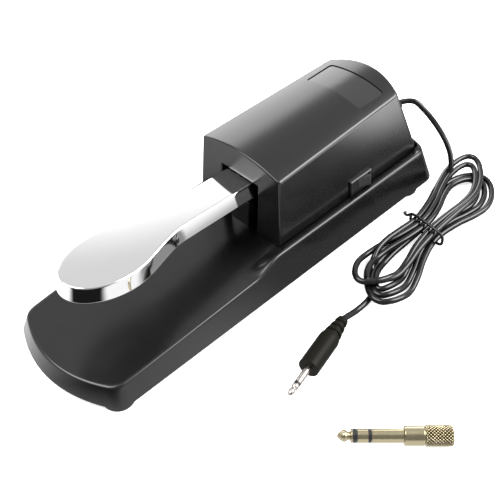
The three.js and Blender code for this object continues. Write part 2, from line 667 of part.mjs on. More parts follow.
// A point of the coil. Turns run inwards on the floor, and then outwards on top of those loops.
function coilPoint(turn) {
  const depth = turn <= LOOPS_PER_LAYER ? turn : 2 * LOOPS_PER_LAYER - turn;
  const angle = 2 * Math.PI * turn;
  const along = Math.cos(angle);
  const lobes = along >= 0 ? UPPER_LOBES : LOWER_LOBES;
  const index = Math.round(along >= 0 ? turn : turn - 0.5);
  const [lean, reach, half] = lobes[Math.min(index, lobes.length - 1)];
  const gathered = TIE_HALF - TIE_STEP * depth;
  const spread = ease(Math.abs(along), [0, 0.8]);
  const width = gathered + (half - gathered) * spread;
  const climb = ease(turn, [LOOPS_PER_LAYER - 0.05, LOOPS_PER_LAYER + 0.2]);
  const lift = along < 0 ? TAIL_LIFT * ease(-along, [0.6, 0.9]) : 0;
  return new THREE.Vector3(
    COIL_CENTRE[0] - Math.sin(angle) * width + lean * Math.abs(along) ** 1.2,
    COIL_CENTRE[1] + Math.sign(along) * Math.abs(along) ** 0.85 * reach,
    LAYER_LOW + LAYER_STEP * climb + lift + TIE_LIFT * (1 - spread),
  );
}

function leadCurve() {
  const inside = [[12.2, 76, 28.6], [15.9, 80, 28.8], [16.4, 88, 30.5], [15.7, 94, 33], [13.2, 98, 35.2]];
  const throat = [-8, -4, 3, 6.5].map((height) => {
    const axis = onGrommet(new THREE.BufferGeometry().setFromPoints([new THREE.Vector3(0, 0, height)]));
    return new THREE.Vector3().fromBufferAttribute(axis.getAttribute("position"), 0);
  });
  const drop = [
    [18.6, 119.6, 42.4], [24.4, 122.6, 38.2], [30, 125.4, 31.8], [34.8, 128, 24.6], [38.6, 130, 17.4],
    [41.4, 130.8, 10.8], [43.4, 129.8, 5.4], [44.8, 127.4, 1.4],
  ];
  const loops = [];
  const samples = 28;
  for (let i = 4; i < 5.27 * samples; i += 1) loops.push(coilPoint(i / samples));
  const layerTop = LAYER_LOW + 2 * LAYER_STEP;
  const tail = [
    [56.2, 66, layerTop], [55.8, 56, layerTop], [56.8, 46.5, layerTop - 1], [59.6, 39.5, LAYER_LOW + 3],
    [63.6, 34.6, LAYER_LOW + 1], [68, 30.6, LAYER_LOW], [71.6, 26, LAYER_LOW], [73.4, 19.5, LAYER_LOW],
    [73.8, 10, LAYER_LOW],
  ];
  const plugEntry = new THREE.Vector3(...PLUG_START, PLUG_HEIGHT).addScaledVector(PLUG_AXIS, 5);
  return new THREE.CatmullRomCurve3([
    ...inside.map((point) => new THREE.Vector3(...point)),
    ...throat,
    ...drop.map((point) => new THREE.Vector3(...point)),
    ...loops,
    ...tail.map((point) => new THREE.Vector3(...point)),
    new THREE.Vector3(...PLUG_START, PLUG_HEIGHT),
    plugEntry,
  ], false, "centripetal");
}

const PLUG_HEIGHT = FLOOR + PLUG_RADIUS;
const PLUG_AXIS = new THREE.Vector3(PLUG_END[0] - PLUG_START[0], PLUG_END[1] - PLUG_START[1], 0).normalize();

const cable = () => drawn(leadCurve(), CABLE_RADIUS, 260, 5);

// A round wire about the gathered strands. Its ends overlap on the left.
const TIE_RADIUS = 0.8;

function cableTie() {
  const low = FLOOR + TIE_RADIUS + 0.05;
  const high = LAYER_LOW + LAYER_STEP + TIE_LIFT + CABLE_RADIUS + TIE_RADIUS + 0.6;
  const squared = (value) => Math.sign(value) * Math.abs(value) ** 0.55;
  const points = [];
  for (let degrees = 155; degrees >= -195; degrees -= 10) {
    const angle = THREE.MathUtils.degToRad(degrees);
    const x = (TIE_HALF + 1.9) * squared(Math.cos(angle));
    const shift = 1.6 * (155 - degrees) / 350;
    points.push(new THREE.Vector3(
      COIL_CENTRE[0] + x,
      COIL_CENTRE[1] - 1.5 + shift - 0.12 * x,
      (low + high) / 2 + (high - low) / 2 * squared(Math.sin(angle)),
    ));
  }
  return drawn(new THREE.CatmullRomCurve3(points, false, "centripetal"), TIE_RADIUS, 60, 6);
}

// ---- plug and adapter: turned pieces strung along an axis ----
const ALONG = new THREE.Vector3(0, 0, 1);

function strung(geometry, start, axis) {
  const turn = new THREE.Quaternion().setFromUnitVectors(ALONG, axis);
  return geometry.applyQuaternion(turn).translate(start.x, start.y, start.z);
}

const SHANK = 1.75;
const GRIP_LENGTH = 36.2;
const PLUG_LENGTH = 55;

function plugPieces() {
  const start = new THREE.Vector3(...PLUG_START, PLUG_HEIGHT);
  const bore = CABLE_RADIUS + FIT_GAP;
  const grip = [
    [bore, 0], [2.9, 0], [3.5, 3], [2.7, 3.4], [2.8, 4.6], [3.7, 5], [4.1, 7], [3.3, 7.4],
    [3.4, 8.6], [4.3, 9], [4.7, 11], [3.9, 11.4], [4, 12.6], [PLUG_RADIUS - 0.3, 13.4], [PLUG_RADIUS, 15.2],
    [PLUG_RADIUS, GRIP_LENGTH - 0.3], [PLUG_RADIUS - 0.3, GRIP_LENGTH], [SHANK + FIT_GAP, GRIP_LENGTH],
    [SHANK + FIT_GAP, GRIP_LENGTH - 4], [0.6, GRIP_LENGTH - 4], [0.6, 8], [bore, 8], [bore, 0],
  ];
  const sleeve = [[0, GRIP_LENGTH - 3.6], [SHANK, GRIP_LENGTH - 3.6], [SHANK, 46.7], [0, 46.7]];
  const ring = [[0, 47], [SHANK, 47], [SHANK, 47.9], [0, 47.9]];
  const tip = [
    [0, 48.2], [SHANK, 48.2], [SHANK, 49.5], [1.2, 50.8], [1.35, 51.4], [1.6, 52.4], [1.2, 54],
    [0.4, PLUG_LENGTH], [0, PLUG_LENGTH],
  ];
  return [
    mesh("plug_grip", strung(turned(grip, 14), start, PLUG_AXIS), FINISHES.cable),
    mesh("plug_sleeve", strung(turned(sleeve, 12), start, PLUG_AXIS), FINISHES.nickel),
    mesh("plug_insulator", strung(turned(ring, 12), start, PLUG_AXIS), FINISHES.switchPlastic),
    mesh("plug_tip", strung(turned(tip, 12), start, PLUG_AXIS), FINISHES.nickel),
  ];
}

function adapterPieces() {
  const start = new THREE.Vector3(...ADAPTER_TIP, FLOOR + ADAPTER_RADIUS);
  const axis = start.clone().negate().add(new THREE.Vector3(...ADAPTER_END, start.z)).normalize();
  const shank = ADAPTER_SHANK_RADIUS;
  const tip = [
    [0, 0], [0.9, 0.2], [2.6, 2.4], [2.9, 3.2], [2.6, 4.2], [1.7, 5.2], [2, 6], [shank, 6.4],
    [shank, 6.9], [0, 6.9],
  ];
  const frontRing = [[0, 7.2], [shank, 7.2], [shank, 8.9], [0, 8.9]];
  const ring = [[0, 9.2], [shank, 9.2], [shank, 13.9], [0, 13.9]];
  const rearRing = [[0, 14.2], [shank, 14.2], [shank, 15.3], [0, 15.3]];
  const sleeve = [[0, 15.6], [shank, 15.6], [shank, 29.9], [0, 29.9]];
  const barrel = [
    [0, 30.2], [4.5, 30.2], [4.5, 39], [4.2, 39.2], [ADAPTER_RADIUS, 39.7], [ADAPTER_RADIUS, 51.7],
    [ADAPTER_RADIUS - 0.5, 52.2], [SHANK + 0.15, 52.2], [SHANK + 0.15, 36.5], [0, 36.5],
  ];
  const piece = (name, profile, material) =>
    mesh(`adapter_${name}`, strung(turned(profile, 14), start, axis), material);
  return [
    piece("tip", tip, FINISHES.gold),
    piece("front_insulator", frontRing, FINISHES.switchPlastic),
    piece("ring", ring, FINISHES.gold),
    piece("rear_insulator", rearRing, FINISHES.switchPlastic),
    piece("sleeve", sleeve, FINISHES.gold),
    piece("barrel", barrel, FINISHES.gold),
  ];
}

// ---- assembly ----
function placed(name, places, makeGeometry, material) {
  return Object.entries(places).flatMap(([where, [x, y]]) =>
    pair(`${name}_${where}`, (side) => makeGeometry(side * x, y), material));
}

const screwUnderDeck = (x, y) => screw(13, 2).translate(x, y, DECK_HEIGHT - WALL);
const bracketScrew = (side) =>
  screw(9, 2).rotateX(Math.PI).translate(side * BRACKET_SCREW_X, PIVOT.y, DECK_HEIGHT + 1.8);

const pedal = new THREE.Group();
pedal.add(
  mesh("base_shell", baseShell(), FINISHES.blackPlastic),
  mesh("base_plate", basePlate(), FINISHES.paintedSteel),
  ...placed("foot", FOOT_PLACES, foot, FINISHES.rubber),
  ...placed("plate_screw", PLATE_SCREW_PLACES, countersunkScrew, FINISHES.steel),
  mesh("housing", housingShell(), FINISHES.blackPlastic),
  mesh("name_plate", namePlate(), FINISHES.darkPlate),
  ...placed("housing_screw", HOUSING_SCREW_PLACES, screwUnderDeck, FINISHES.steel),
  mesh("lever", lever(), FINISHES.chrome),
  mesh("pivot_bracket", pivotBracket(), FINISHES.steel),
  mesh("pivot_axle", pivotAxle(), FINISHES.steel),
  ...pair("axle_clip", axleClip, FINISHES.steel),
  ...pair("pivot_bush", pivotBush, FINISHES.nylon),
  ...pair("bracket_screw", bracketScrew, FINISHES.steel),
  mesh("return_spring", springCoil(), FINISHES.steel),
  mesh("spring_seat", springSeat(), FINISHES.nylon),
  mesh("spring_cap", springCap(), FINISHES.nylon),
  mesh("stop_pad", stopPad(), FINISHES.rubber),
  mesh("rest_pad", restPad(), FINISHES.felt),
  mesh("circuit_board", circuitBoard(), FINISHES.board),
  mesh("board_screw_front", boardScrew(11, 62), FINISHES.steel),
  mesh("board_screw_rear", boardScrew(-11, 77), FINISHES.steel),
  mesh("contact_switch", contactSwitch(), FINISHES.switchPlastic),
  mesh("contact_plunger", contactPlunger(), FINISHES.nylon),
  mesh("polarity_switch", switchBody(), FINISHES.switchPlastic),
  mesh("polarity_rocker", switchRocker(), FINISHES.switchPlastic),
  mesh("switch_wire_front", switchWire(-2), FINISHES.cable),
  mesh("switch_wire_rear", switchWire(2), FINISHES.cable),
  mesh("cable_grommet", grommet(), FINISHES.rubber),
  mesh("cable", cable(), FINISHES.cable),
  mesh("cable_tie", cableTie(), FINISHES.rubber),
  ...plugPieces(),
  ...adapterPieces(),
);

export default pedal;
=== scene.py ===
# Sustain pedal: the looks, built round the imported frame. Shapes are drawn in millimetres and kept in metres.
import json
import math

import bmesh
import bpy
import numpy as np
from mathutils import Matrix, Vector


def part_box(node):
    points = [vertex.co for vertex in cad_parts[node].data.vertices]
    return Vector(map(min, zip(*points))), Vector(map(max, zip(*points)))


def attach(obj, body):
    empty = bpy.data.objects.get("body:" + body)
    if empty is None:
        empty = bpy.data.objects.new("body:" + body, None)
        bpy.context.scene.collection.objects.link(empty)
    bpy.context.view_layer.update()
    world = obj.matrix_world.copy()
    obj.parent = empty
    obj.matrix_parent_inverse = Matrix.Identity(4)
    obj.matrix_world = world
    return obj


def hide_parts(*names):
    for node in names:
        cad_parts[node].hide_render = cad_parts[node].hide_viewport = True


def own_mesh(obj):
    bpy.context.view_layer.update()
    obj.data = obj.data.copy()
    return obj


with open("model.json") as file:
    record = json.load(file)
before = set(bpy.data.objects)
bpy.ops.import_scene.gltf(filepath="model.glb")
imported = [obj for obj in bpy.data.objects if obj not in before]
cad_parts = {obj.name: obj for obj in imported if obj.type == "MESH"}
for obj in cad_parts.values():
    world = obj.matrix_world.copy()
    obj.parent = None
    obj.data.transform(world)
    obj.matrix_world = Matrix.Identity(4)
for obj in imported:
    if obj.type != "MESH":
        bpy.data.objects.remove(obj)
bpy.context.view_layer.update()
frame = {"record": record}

MM = 0.001
record = frame["record"]
SLOT_OF = {row["node"]: row["material_slot"] for row in record["subparts"]}
BODY_OF = {node: body for body, nodes in record["behaviour"]["bodies"].items() for node in nodes}
SIDES = (("right", 1), ("left", -1))
CORNERS = [f"{end}_{side}" for end in ("front", "rear") for side, _ in SIDES]


# ---- numbers ----
def box(node):
    """Lowest and highest corner of a CAD node, in millimetres."""
    low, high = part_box(node)
    return np.array(low) / MM, np.array(high) / MM


def centre(node):
    low, high = box(node)
    return (low + high) / 2


def four(name):
    """The middles of the four copies of a node, one at each corner."""
    return [centre(f"{name}_{corner}") for corner in CORNERS]


def ease(value, low, high):
    """0 up to low, 1 from high on, and a smooth change between."""
    share = np.clip((value - low) / (high - low), 0, 1)
    return share * share * (3 - 2 * share)


def mix(a, b, share):
    return a + (b - a) * share


def unit(direction):
    return direction / np.linalg.norm(direction)


def bend(a, corner, b, steps):
    """Points, or whole rings of points, on the curve that rounds off a corner between a and b."""
    shares = np.linspace(0, 1, steps + 1)
    return [a * (1 - s) ** 2 + corner * 2 * s * (1 - s) + b * s**2 for s in shares]


def soften(profile, radius, steps=3):
    """An open profile with its inner corners rounded. A third number is a corner's own radius."""
    points = [np.array(corner[:2], float) for corner in profile]
    result = [points[0]]
    for i in range(1, len(points) - 1):
        before, here, after = points[i - 1 : i + 2]
        reach = profile[i][2] if len(profile[i]) > 2 else radius
        back = np.linalg.norm(before - here)
        ahead = np.linalg.norm(after - here)
        reach = min(reach, back * 0.45, ahead * 0.45)
        if reach < 0.02:
            result.append(here)
            continue
        start = here + (before - here) * reach / back
        end = here + (after - here) * reach / ahead
        result.extend(bend(start, here, end, steps))
    return result + [points[-1]]


def through(points, spacing):
    """Evenly spaced points on a smooth curve through the given ones."""
    points = np.array(points, float)
    ends = np.vstack([2 * points[0] - points[1], points, 2 * points[-1] - points[-2]])
    curve = []
    for i in range(len(points) - 1):
        p0, p1, p2, p3 = ends[i : i + 4]
        d0, d1, d2 = [max(np.linalg.norm(b - a) ** 0.5, 1e-4) for a, b in ((p0, p1), (p1, p2), (p2, p3))]
        leave = d1 * ((p1 - p0) / d0 - (p2 - p0) / (d0 + d1) + (p2 - p1) / d1)
        arrive = d1 * ((p2 - p1) / d1 - (p3 - p1) / (d1 + d2) + (p3 - p2) / d2)
        for s in np.linspace(0, 1, 10, endpoint=False):
            a, b = 2 * s**3 - 3 * s**2 + 1, s**3 - 2 * s**2 + s
            curve.append(a * p1 + b * leave + (1 - a) * p2 + (s**3 - s**2) * arrive)
    curve = np.array(curve + [points[-1]])
    steps = np.linalg.norm(np.diff(curve, axis=0), axis=1)
    along = np.concatenate([[0], np.cumsum(steps)])
    places = np.linspace(0, along[-1], int(along[-1] / spacing) + 1)
    return np.column_stack([np.interp(places, along, curve[:, axis]) for axis in range(3)])


# ---- bodies ----
def linked(data):
    shape = bpy.data.objects.new(data.name, data)
    bpy.context.scene.collection.objects.link(shape)
    return shape


def solid(vertices, faces):
    """A closed mesh object, still in millimetres, with its doubled points merged."""
    data = bpy.data.meshes.new("solid")
    data.from_pydata([tuple(map(float, v)) for v in vertices], [], faces)
    work = bmesh.new()
    work.from_mesh(data)
    bmesh.ops.remove_doubles(work, verts=work.verts, dist=2e-3)
    bmesh.ops.dissolve_degenerate(work, dist=1e-3, edges=work.edges)
    bmesh.ops.recalc_face_normals(work, faces=work.faces)
    work.to_mesh(data)
    work.free()
    return linked(data)


def skin(rings, capped=False, joined=False):
    """A body through closed rings of points. Its ends shrink to nothing, are capped, or meet each other."""
    count = len(rings[0])
    faces = []
    for ring in range(len(rings) - (0 if joined else 1)):
        here, there = ring * count, (ring + 1) % len(rings) * count
        for i in range(count):
            after = (i + 1) % count
            faces.append((here + i, here + after, there + after, there + i))
    if capped:
        last = (len(rings) - 1) * count
        faces += [tuple(range(count)), tuple(range(last, last + count))]
    return solid(np.concatenate(rings), faces)


def circle(radius, angles, height):
    return np.column_stack([radius * np.cos(angles), radius * np.sin(angles), np.full(len(angles), height)])


def turned(profile, segments=48, radius=0.15, along=(0, 0, 1), start=(0, 0, 0)):
    """A body of revolution from its (radius, height) profile, which starts and ends on the axis or closes."""
    angles = np.linspace(0, 2 * np.pi, segments, endpoint=False)
    rings = [circle(r, angles, height) for r, height in soften(profile, radius)]
    closed = np.allclose(profile[0][:2], profile[-1][:2])
    shape = skin(rings[:-1] if closed else rings, joined=closed)
    return place(shape, along, start)


def place(shape, along, start):
    """Turns a body's Z axis to a direction, and moves its origin to a point."""
    turn = Vector((0, 0, 1)).rotation_difference(Vector(along).normalized()).to_matrix().to_4x4()
    shape.data.transform(Matrix.Translation(Vector(start)) @ turn)
    return shape


def moved(shape, matrix):
    shape.data.transform(matrix)
    return shape


def swept(path, radius, sides=16):
    """A round bar along evenly spaced points, with slightly domed ends."""
    path = np.array(path, float)
    ahead = np.roll(path, -1, axis=0) - np.roll(path, 1, axis=0)
    ahead[0], ahead[-1] = path[1] - path[0], path[-1] - path[-2]
    ahead /= np.linalg.norm(ahead, axis=1)[:, None]
    side = np.cross(ahead[0], (0.1, 0.2, 1.0))
    angles = np.linspace(0, 2 * np.pi, sides, endpoint=False)[:, None]
    rings = []
    for point, direction in zip(path, ahead):
        side = unit(side - direction * np.dot(side, direction))
        other = np.cross(direction, side)
        rings.append(point + radius * (np.cos(angles) * side + np.sin(angles) * other))
    for end, inward in ((0, 1), (-1, -1)):
        nose = path[end] + (rings[end] - path[end]) * 0.75 - inward * ahead[end] * radius * 0.2
        tip = path[end] + (rings[end] - path[end]) * 0.001 - inward * ahead[end] * radius * 0.25
        rings = [tip, nose] + rings if end == 0 else rings + [nose, tip]
    return skin(rings)


def block(low, high, radius=0.4, steps=3):
    """A box with rounded edges."""
    low, high = np.array(low, float), np.array(high, float)
    work = bmesh.new()
    bmesh.ops.create_cube(work, size=1)
    for vertex in work.verts:
        vertex.co = Vector(low + (np.array(vertex.co) + 0.5) * (high - low))
    if radius > 0:
        bmesh.ops.bevel(work, geom=work.edges[:], offset=radius, segments=steps, profile=0.5, affect="EDGES")
    data = bpy.data.meshes.new("block")
    work.to_mesh(data)
    work.free()
    return linked(data)


def rod(radius, low, high):
    """The profile of a plain cylinder."""
    return [(0, low), (radius, low), (radius, high), (0, high)]


def post(radius, low, high, x=0, y=0):
    """A cylinder along Z."""
    return turned(rod(radius, low, high), 40, 0, start=(x, y, 0))


def posts(name, radius, low, high):
    """Cylinders at the four copies of a node."""
    return [post(radius, low, high, *at[:2]) for at in four(name)]


def bar(radius, low, high, y, z):
    """A cylinder along X."""
    return turned(rod(radius, low, high), 40, 0, (1, 0, 0), (0, y, z))


def combine(shape, tools, operation):
    """Joins the tools to the body, or cuts them from it."""
    for tool in tools:
        modifier = shape.modifiers.new("combine", "BOOLEAN")
        modifier.operation = operation
        modifier.solver = "MANIFOLD"
        modifier.object = tool
        graph = bpy.context.evaluated_depsgraph_get()
        shape.data = bpy.data.meshes.new_from_object(shape.evaluated_get(graph))
        shape.modifiers.clear()
        bpy.data.objects.remove(tool)
    return shape


def cut(shape, *tools):
    return combine(shape, tools, "DIFFERENCE")


def join(shape, *tools):
    return combine(shape, tools, "UNION")


def finished(node, shape, sharp=32, look=None):
    """Puts a body in place of a CAD node, with that node's body and slot, and the slot's look or its own."""
    shape.data.transform(Matrix.Scale(MM, 4))
    shape.name = node + "_finished"
    shape.data.name = shape.name
    shape.data.shade_smooth()
    shape.data.set_sharp_from_angle(angle=math.radians(sharp))
    shape.data.materials.clear()
    shape.data.materials.append(LOOKS[look or SLOT_OF[node]])
    normals = shape.modifiers.new("normals", "WEIGHTED_NORMAL")
    normals.keep_sharp = True
    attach(shape, BODY_OF[node])
    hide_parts(node)
    return shape


# ---- materials ----
def nodes_of(name):
    material = bpy.data.materials.new(name)
    material.use_nodes = True
    return material, material.node_tree, material.node_tree.nodes["Principled BSDF"]


def feed(tree, socket, value):
    """Gives an input a value, or another node's output."""
    if isinstance(value, bpy.types.NodeSocket):
        tree.links.new(value, socket)
    else:
        socket.default_value = value


def wire(tree, node, **inputs):
    """Feeds a node's inputs, which are named with _ for each space."""
    for name, value in inputs.items():
        feed(tree, node.inputs[name.replace("_", " ")], value)
    return node


def added(tree, kind, **inputs):
    return wire(tree, tree.nodes.new("ShaderNode" + kind), **inputs)


def noise(tree, scale, detail, stretch=(1, 1, 1)):
    """Noise in the object's own metres. The scale is in features per metre."""
    where = added(tree, "TexCoord").outputs["Object"]
    stretched = added(tree, "Mapping", Vector=where, Scale=stretch).outputs["Vector"]
    return added(tree, "TexNoise", Vector=stretched, Scale=scale, Detail=detail).outputs["Fac"]


def ranged(tree, value, low, high, start, end):
    """The input's change from low to high, spread from start to end."""
    limits = {"From_Min": low, "From_Max": high, "To_Min": start, "To_Max": end}
    return added(tree, "MapRange", Value=value, **limits)


def varied(tree, value, low, high):
    """Spreads a noise, which mostly runs from 0.3 to 0.7, from low to high."""
    return ranged(tree, value, 0.3, 0.7, low, high).outputs["Result"]


def step_up(tree, value, low, high, start, end):
    """A smooth change from one value to another as the input passes from low to high."""
    node = ranged(tree, value, low, high, start, end)
    node.interpolation_type = "SMOOTHSTEP"
    return node.outputs["Result"]


def calculate(tree, operation, a, b):
    node = tree.nodes.new("ShaderNodeMath")
    node.operation = operation
    feed(tree, node.inputs[0], a)
    feed(tree, node.inputs[1], b)
    return node.outputs[0]


def opaque(colour):
    return colour if isinstance(colour, bpy.types.NodeSocket) else (*colour, 1)


def tinted(tree, value, dark, light):
    """A colour between two, by a value from 0 to 1."""
    node = tree.nodes.new("ShaderNodeMix")
    node.data_type = "RGBA"
    return wire(tree, node, Factor=value, A=opaque(dark), B=opaque(light)).outputs["Result"]


def bumped(tree, height, depth):
    """The surface's direction with a bump of a depth in millimetres."""
    return added(tree, "Bump", Height=height, Distance=depth * MM).outputs["Normal"]


def pointed(tree):
    """About 0.5 where the surface is flat, more on outward edges, less in hollows."""
    return added(tree, "NewGeometry").outputs["Pointiness"]


def plastic(slot, colour, roughness, grain, grain_depth, edge_highlight=0.0, gloss=0.5):
    """Moulded plastic or rubber: a fine grain, a slow change of sheen, and outward edges lightened as a
    painted highlight.
    """
    material, tree, shader = nodes_of(slot)
    colour = np.array(colour)
    base = tinted(tree, noise(tree, 60, 2), colour * 0.85, colour * 1.15)
    if edge_highlight:
        # painted highlight: outward edges are given a lighter colour
        edges = ranged(tree, pointed(tree), 0.52, 0.62, 0, edge_highlight).outputs["Result"]
        base = tinted(tree, edges, base, colour * 2.5 + 0.01)
    sheen = varied(tree, noise(tree, 35, 4), roughness * 0.9, roughness * 1.12)
    surface = bumped(tree, noise(tree, grain, 2), grain_depth)
    wire(tree, shader, Base_Color=base, Roughness=sheen, Specular_IOR_Level=gloss, Normal=surface)
    return material


def metal(slot, colour, roughness, scratch, stretch, groove_shade=1.0):
    """Plated or drawn metal: hairlines along one direction vary its gloss, and hollows can get a painted
    shade.
    """
    material, tree, shader = nodes_of(slot)
    colour = np.array(colour)
    base = tinted(tree, noise(tree, 45, 3), colour * 0.94, colour)
    if groove_shade < 1:
        # painted shade: the hollows, such as the knurl's grooves, are darkened
        base = tinted(tree, step_up(tree, pointed(tree), 0.44, 0.51, 0, 1), colour * groove_shade, base)
    hairlines = noise(tree, 900, 4, stretch)
    sheen = varied(tree, hairlines, roughness * 0.8, roughness * 1.3)
    surface = bumped(tree, hairlines, scratch)
    wire(tree, shader, Base_Color=base, Metallic=1, Roughness=sheen, Normal=surface)
    return material


def felt(slot, colour):
    """Short fibres that catch the light."""
    material, tree, shader = nodes_of(slot)
    colour = np.array(colour)
    fibres = noise(tree, 2500, 6, (1, 0.4, 1))
    base = tinted(tree, fibres, colour * 0.6, colour * 1.5)
    wire(tree, shader, Base_Color=base, Roughness=1, Sheen_Weight=0.4, Normal=bumped(tree, fibres, 0.25))
    return material


def circuit(slot, colour):
    """Green board: copper runs show as slightly raised, lighter lines."""
    material, tree, shader = nodes_of(slot)
    colour = np.array(colour)
    where = added(tree, "TexCoord").outputs["Object"]
    runs = added(tree, "TexBrick", Vector=where, Scale=120, Mortar_Size=0.06, Color1=opaque(colour),
                 Color2=opaque(colour * 0.85), Mortar=opaque(colour * 2.2))
    surface = bumped(tree, runs.outputs["Fac"], 0.03)
    wire(tree, shader, Base_Color=runs.outputs["Color"], Roughness=0.28, Normal=surface)
    return material


PLASTICS = {
    # colour, roughness, grains per metre, their depth in mm, painted highlight on the edges, gloss
    "shell_plastic": ((0.004, 0.004, 0.0044), 0.21, 2600, 0.01, 0.3, 0.6),
    "plate_gloss": ((0.02, 0.02, 0.021), 0.16, 1500, 0.002, 0, 0.6),
    "painted_plate": ((0.02, 0.02, 0.021), 0.5, 900, 0.05),
    "foot_rubber": ((0.012, 0.012, 0.012), 0.7, 3000, 0.03),
    "nylon": ((0.8, 0.78, 0.72), 0.45, 1800, 0.01),
    "switch_plastic": ((0.012, 0.012, 0.0125), 0.3, 2400, 0.006, 0.3),
    "rocker_plastic": ((0.035, 0.035, 0.036), 0.3, 2400, 0.006),
    "cable_jacket": ((0.0035, 0.0035, 0.004), 0.17, 1600, 0.006),
    "grip_pvc": ((0.006, 0.0055, 0.0035), 0.42, 1800, 0.012, 0, 0.1),
}
METALS = {
    # colour, roughness, depth of the hairlines in mm, how they are stretched, how dark the painted shade in
    # the hollows is
    "lever_chrome": ((0.88, 0.88, 0.88), 0.045, 0.0004, (1, 0.06, 1)),
    "steel_parts": ((0.55, 0.56, 0.57), 0.3, 0.01, (1, 1, 0.15)),
    "plug_nickel": ((0.5, 0.455, 0.42), 0.26, 0.002, (1, 1, 0.1)),
    "adapter_gold": ((0.5, 0.44, 0.29), 0.2, 0.003, (1, 1, 0.1), 0.05),
}
LOOKS = {slot: plastic(slot, *numbers) for slot, numbers in PLASTICS.items()}
LOOKS |= {slot: metal(slot, *numbers) for slot, numbers in METALS.items()}
LOOKS |= {"pad_felt": felt("pad_felt", (0.12, 0.04, 0.04)), "board": circuit("board", (0.03, 0.16, 0.07))}


# ---- outlines seen from above ----
def bowed_end(half, corner, angle, bow_steps=12, corner_steps=8):
    """A bowed end with a rounded corner: half widths, and distances back from the end's middle."""
    slope = math.radians(angle)
    bow_half = half - corner * (1 - math.sin(slope))
    x = np.linspace(0, bow_half, bow_steps + 1)
    depth = math.tan(slope) * x * x / (2 * bow_half)
    turn = slope + (math.pi / 2 - slope) * np.arange(1, corner_steps + 1) / corner_steps
    corner_depth = depth[-1] + corner * (math.cos(slope) - np.cos(turn))
    return np.concatenate([x, half - corner + corner * np.sin(turn)]), np.concatenate([depth, corner_depth])


def outline(front, rear, side_half, stations, inset):
    """A closed outline. Each end is (y of its middle, corner radius, bow in degrees)."""
    (front_y, front_corner, front_bow), (rear_y, rear_corner, rear_bow) = front, rear
    front_x, front_back = bowed_end(side_half(front_y) - inset, max(front_corner - inset, 0.3), front_bow)
    rear_x, rear_back = bowed_end(side_half(rear_y) - inset, max(rear_corner - inset, 0.3), rear_bow)
    x = np.concatenate([front_x, side_half(stations) - inset, rear_x[::-1]])
    y = np.concatenate([front_y + inset + front_back, stations, (rear_y - inset - rear_back)[::-1]])
    right = np.column_stack([x, y])
    return np.concatenate([right, right[-2:0:-1] * (-1, 1)])


def rounded_rectangle(half_x, half_y, corner, steps=6):
    """A closed outline about the origin."""
    turn = np.linspace(0, np.pi / 2, steps + 1)
    across, along = half_x - corner + corner * np.cos(turn), half_y - corner + corner * np.sin(turn)
    quarter = np.column_stack([across, along])
    return np.concatenate([quarter, quarter[::-1] * (-1, 1), -quarter, quarter[::-1] * (1, -1)])


def filled_in(points, spacing):
    """A closed outline with extra points along its straight stretches."""
    result = []
    for here, there in zip(points, np.roll(points, -1, axis=0)):
        count = max(1, round(np.linalg.norm(there - here) / spacing))
        result += [mix(here, there, i / count) for i in range(count)]
    return np.array(result)


def towards_spine(points):
    """The nearest places on the outline's middle line."""
    half = points[:, 0].max()
    low, high = points[:, 1].min() + half, points[:, 1].max() - half
    middle = (low + high) / 2
    along = np.clip(points[:, 1], min(low, middle), max(high, middle))
    return np.column_stack([np.zeros(len(points)), along])


# Shares of the way in from the edge where a top surface has its rings of points.
TOP_SHARES = np.concatenate([np.linspace(0, 0.3, 22)[:-1], np.linspace(0.3, 1, 14)])


def moulding(top, bottom, height, under, edge=1.0, foot=0.5, shares=TOP_SHARES):
    """A body whose top follows height(x, y) inside the outline top(inset), and its underside under(x, y)."""
    def raised(points, surface):
        return np.column_stack([points, surface(points[:, 0], points[:, 1])])

    crest, hem = raised(top(0), height), raised(bottom(0), under)
    wall = hem - crest
    drop = np.linalg.norm(wall, axis=1, keepdims=True)
    inner, outer = top(edge), bottom(foot)
    rings = [raised(mix(inner, towards_spine(inner), share), height) for share in shares[:0:-1]]
    rings += bend(raised(inner, height), crest, crest + wall * edge / drop, 5)
    rings += [mix(rings[-1], hem - wall * foot / drop, share) for share in (0.25, 0.5, 0.75)]
    rings += bend(hem - wall * foot / drop, hem, raised(outer, under), 3)
    rings += [raised(mix(outer, towards_spine(outer), share), under) for share in (0.5, 1)]
    return skin(rings)


# ---- base ----
BASE_LOW, BASE_HIGH = box("base_shell")
BASE_HALF = BASE_HIGH[0]
BASE_END = BASE_HIGH[1]
FLOOR = box("foot_front_right")[0][2]
WALL = 2.5
TOE_HEIGHT = 10.4
DECK_HEIGHT = 19.1
RIM_HEIGHT = 22.1
RIM_RISE = (-24.1, -5.4)
RIM_COVE = (27, 34)
BASE_TOP_HALF = {"toe": 34.5, "waist": 36.1, "housing": 34.8}
BASE_DRAFT = {"front": 2.5, "rear": 7.6}
BASE_BOW = {"front": 29.5, "rear": 16}
BASE_CORNER = 9
TONGUE_HALF = 6.5
SCREW_HOLE = 1.7


def rim_half(y):
    """Half width of the base's top edge."""
    y = np.asarray(y, float)
    front = mix(BASE_TOP_HALF["toe"], BASE_TOP_HALF["waist"], (y + BASE_END) / (RIM_RISE[0] + BASE_END))
    rear = mix(BASE_TOP_HALF["waist"], BASE_TOP_HALF["housing"], ease(y, *RIM_RISE))
    return np.where(y > RIM_RISE[0], rear, front)


def platform(y):
    """Height of the sloping top, which is level from the housing on."""
    return TOE_HEIGHT + (DECK_HEIGHT - TOE_HEIGHT) * np.minimum(1, (y + BASE_END) / BASE_END)


def base_top(x, y):
    """The sloping platform, and the rim that rises beside and behind the housing."""
    rise = (RIM_HEIGHT - platform(y)) * ease(y, *RIM_RISE)
    return platform(y) + rise * np.maximum(ease(np.abs(x), *RIM_COVE), ease(y, 104, 112))


def level(height):
    """A flat surface, for moulding()."""
    return lambda x, y: np.full(len(np.atleast_1d(x)), float(height))


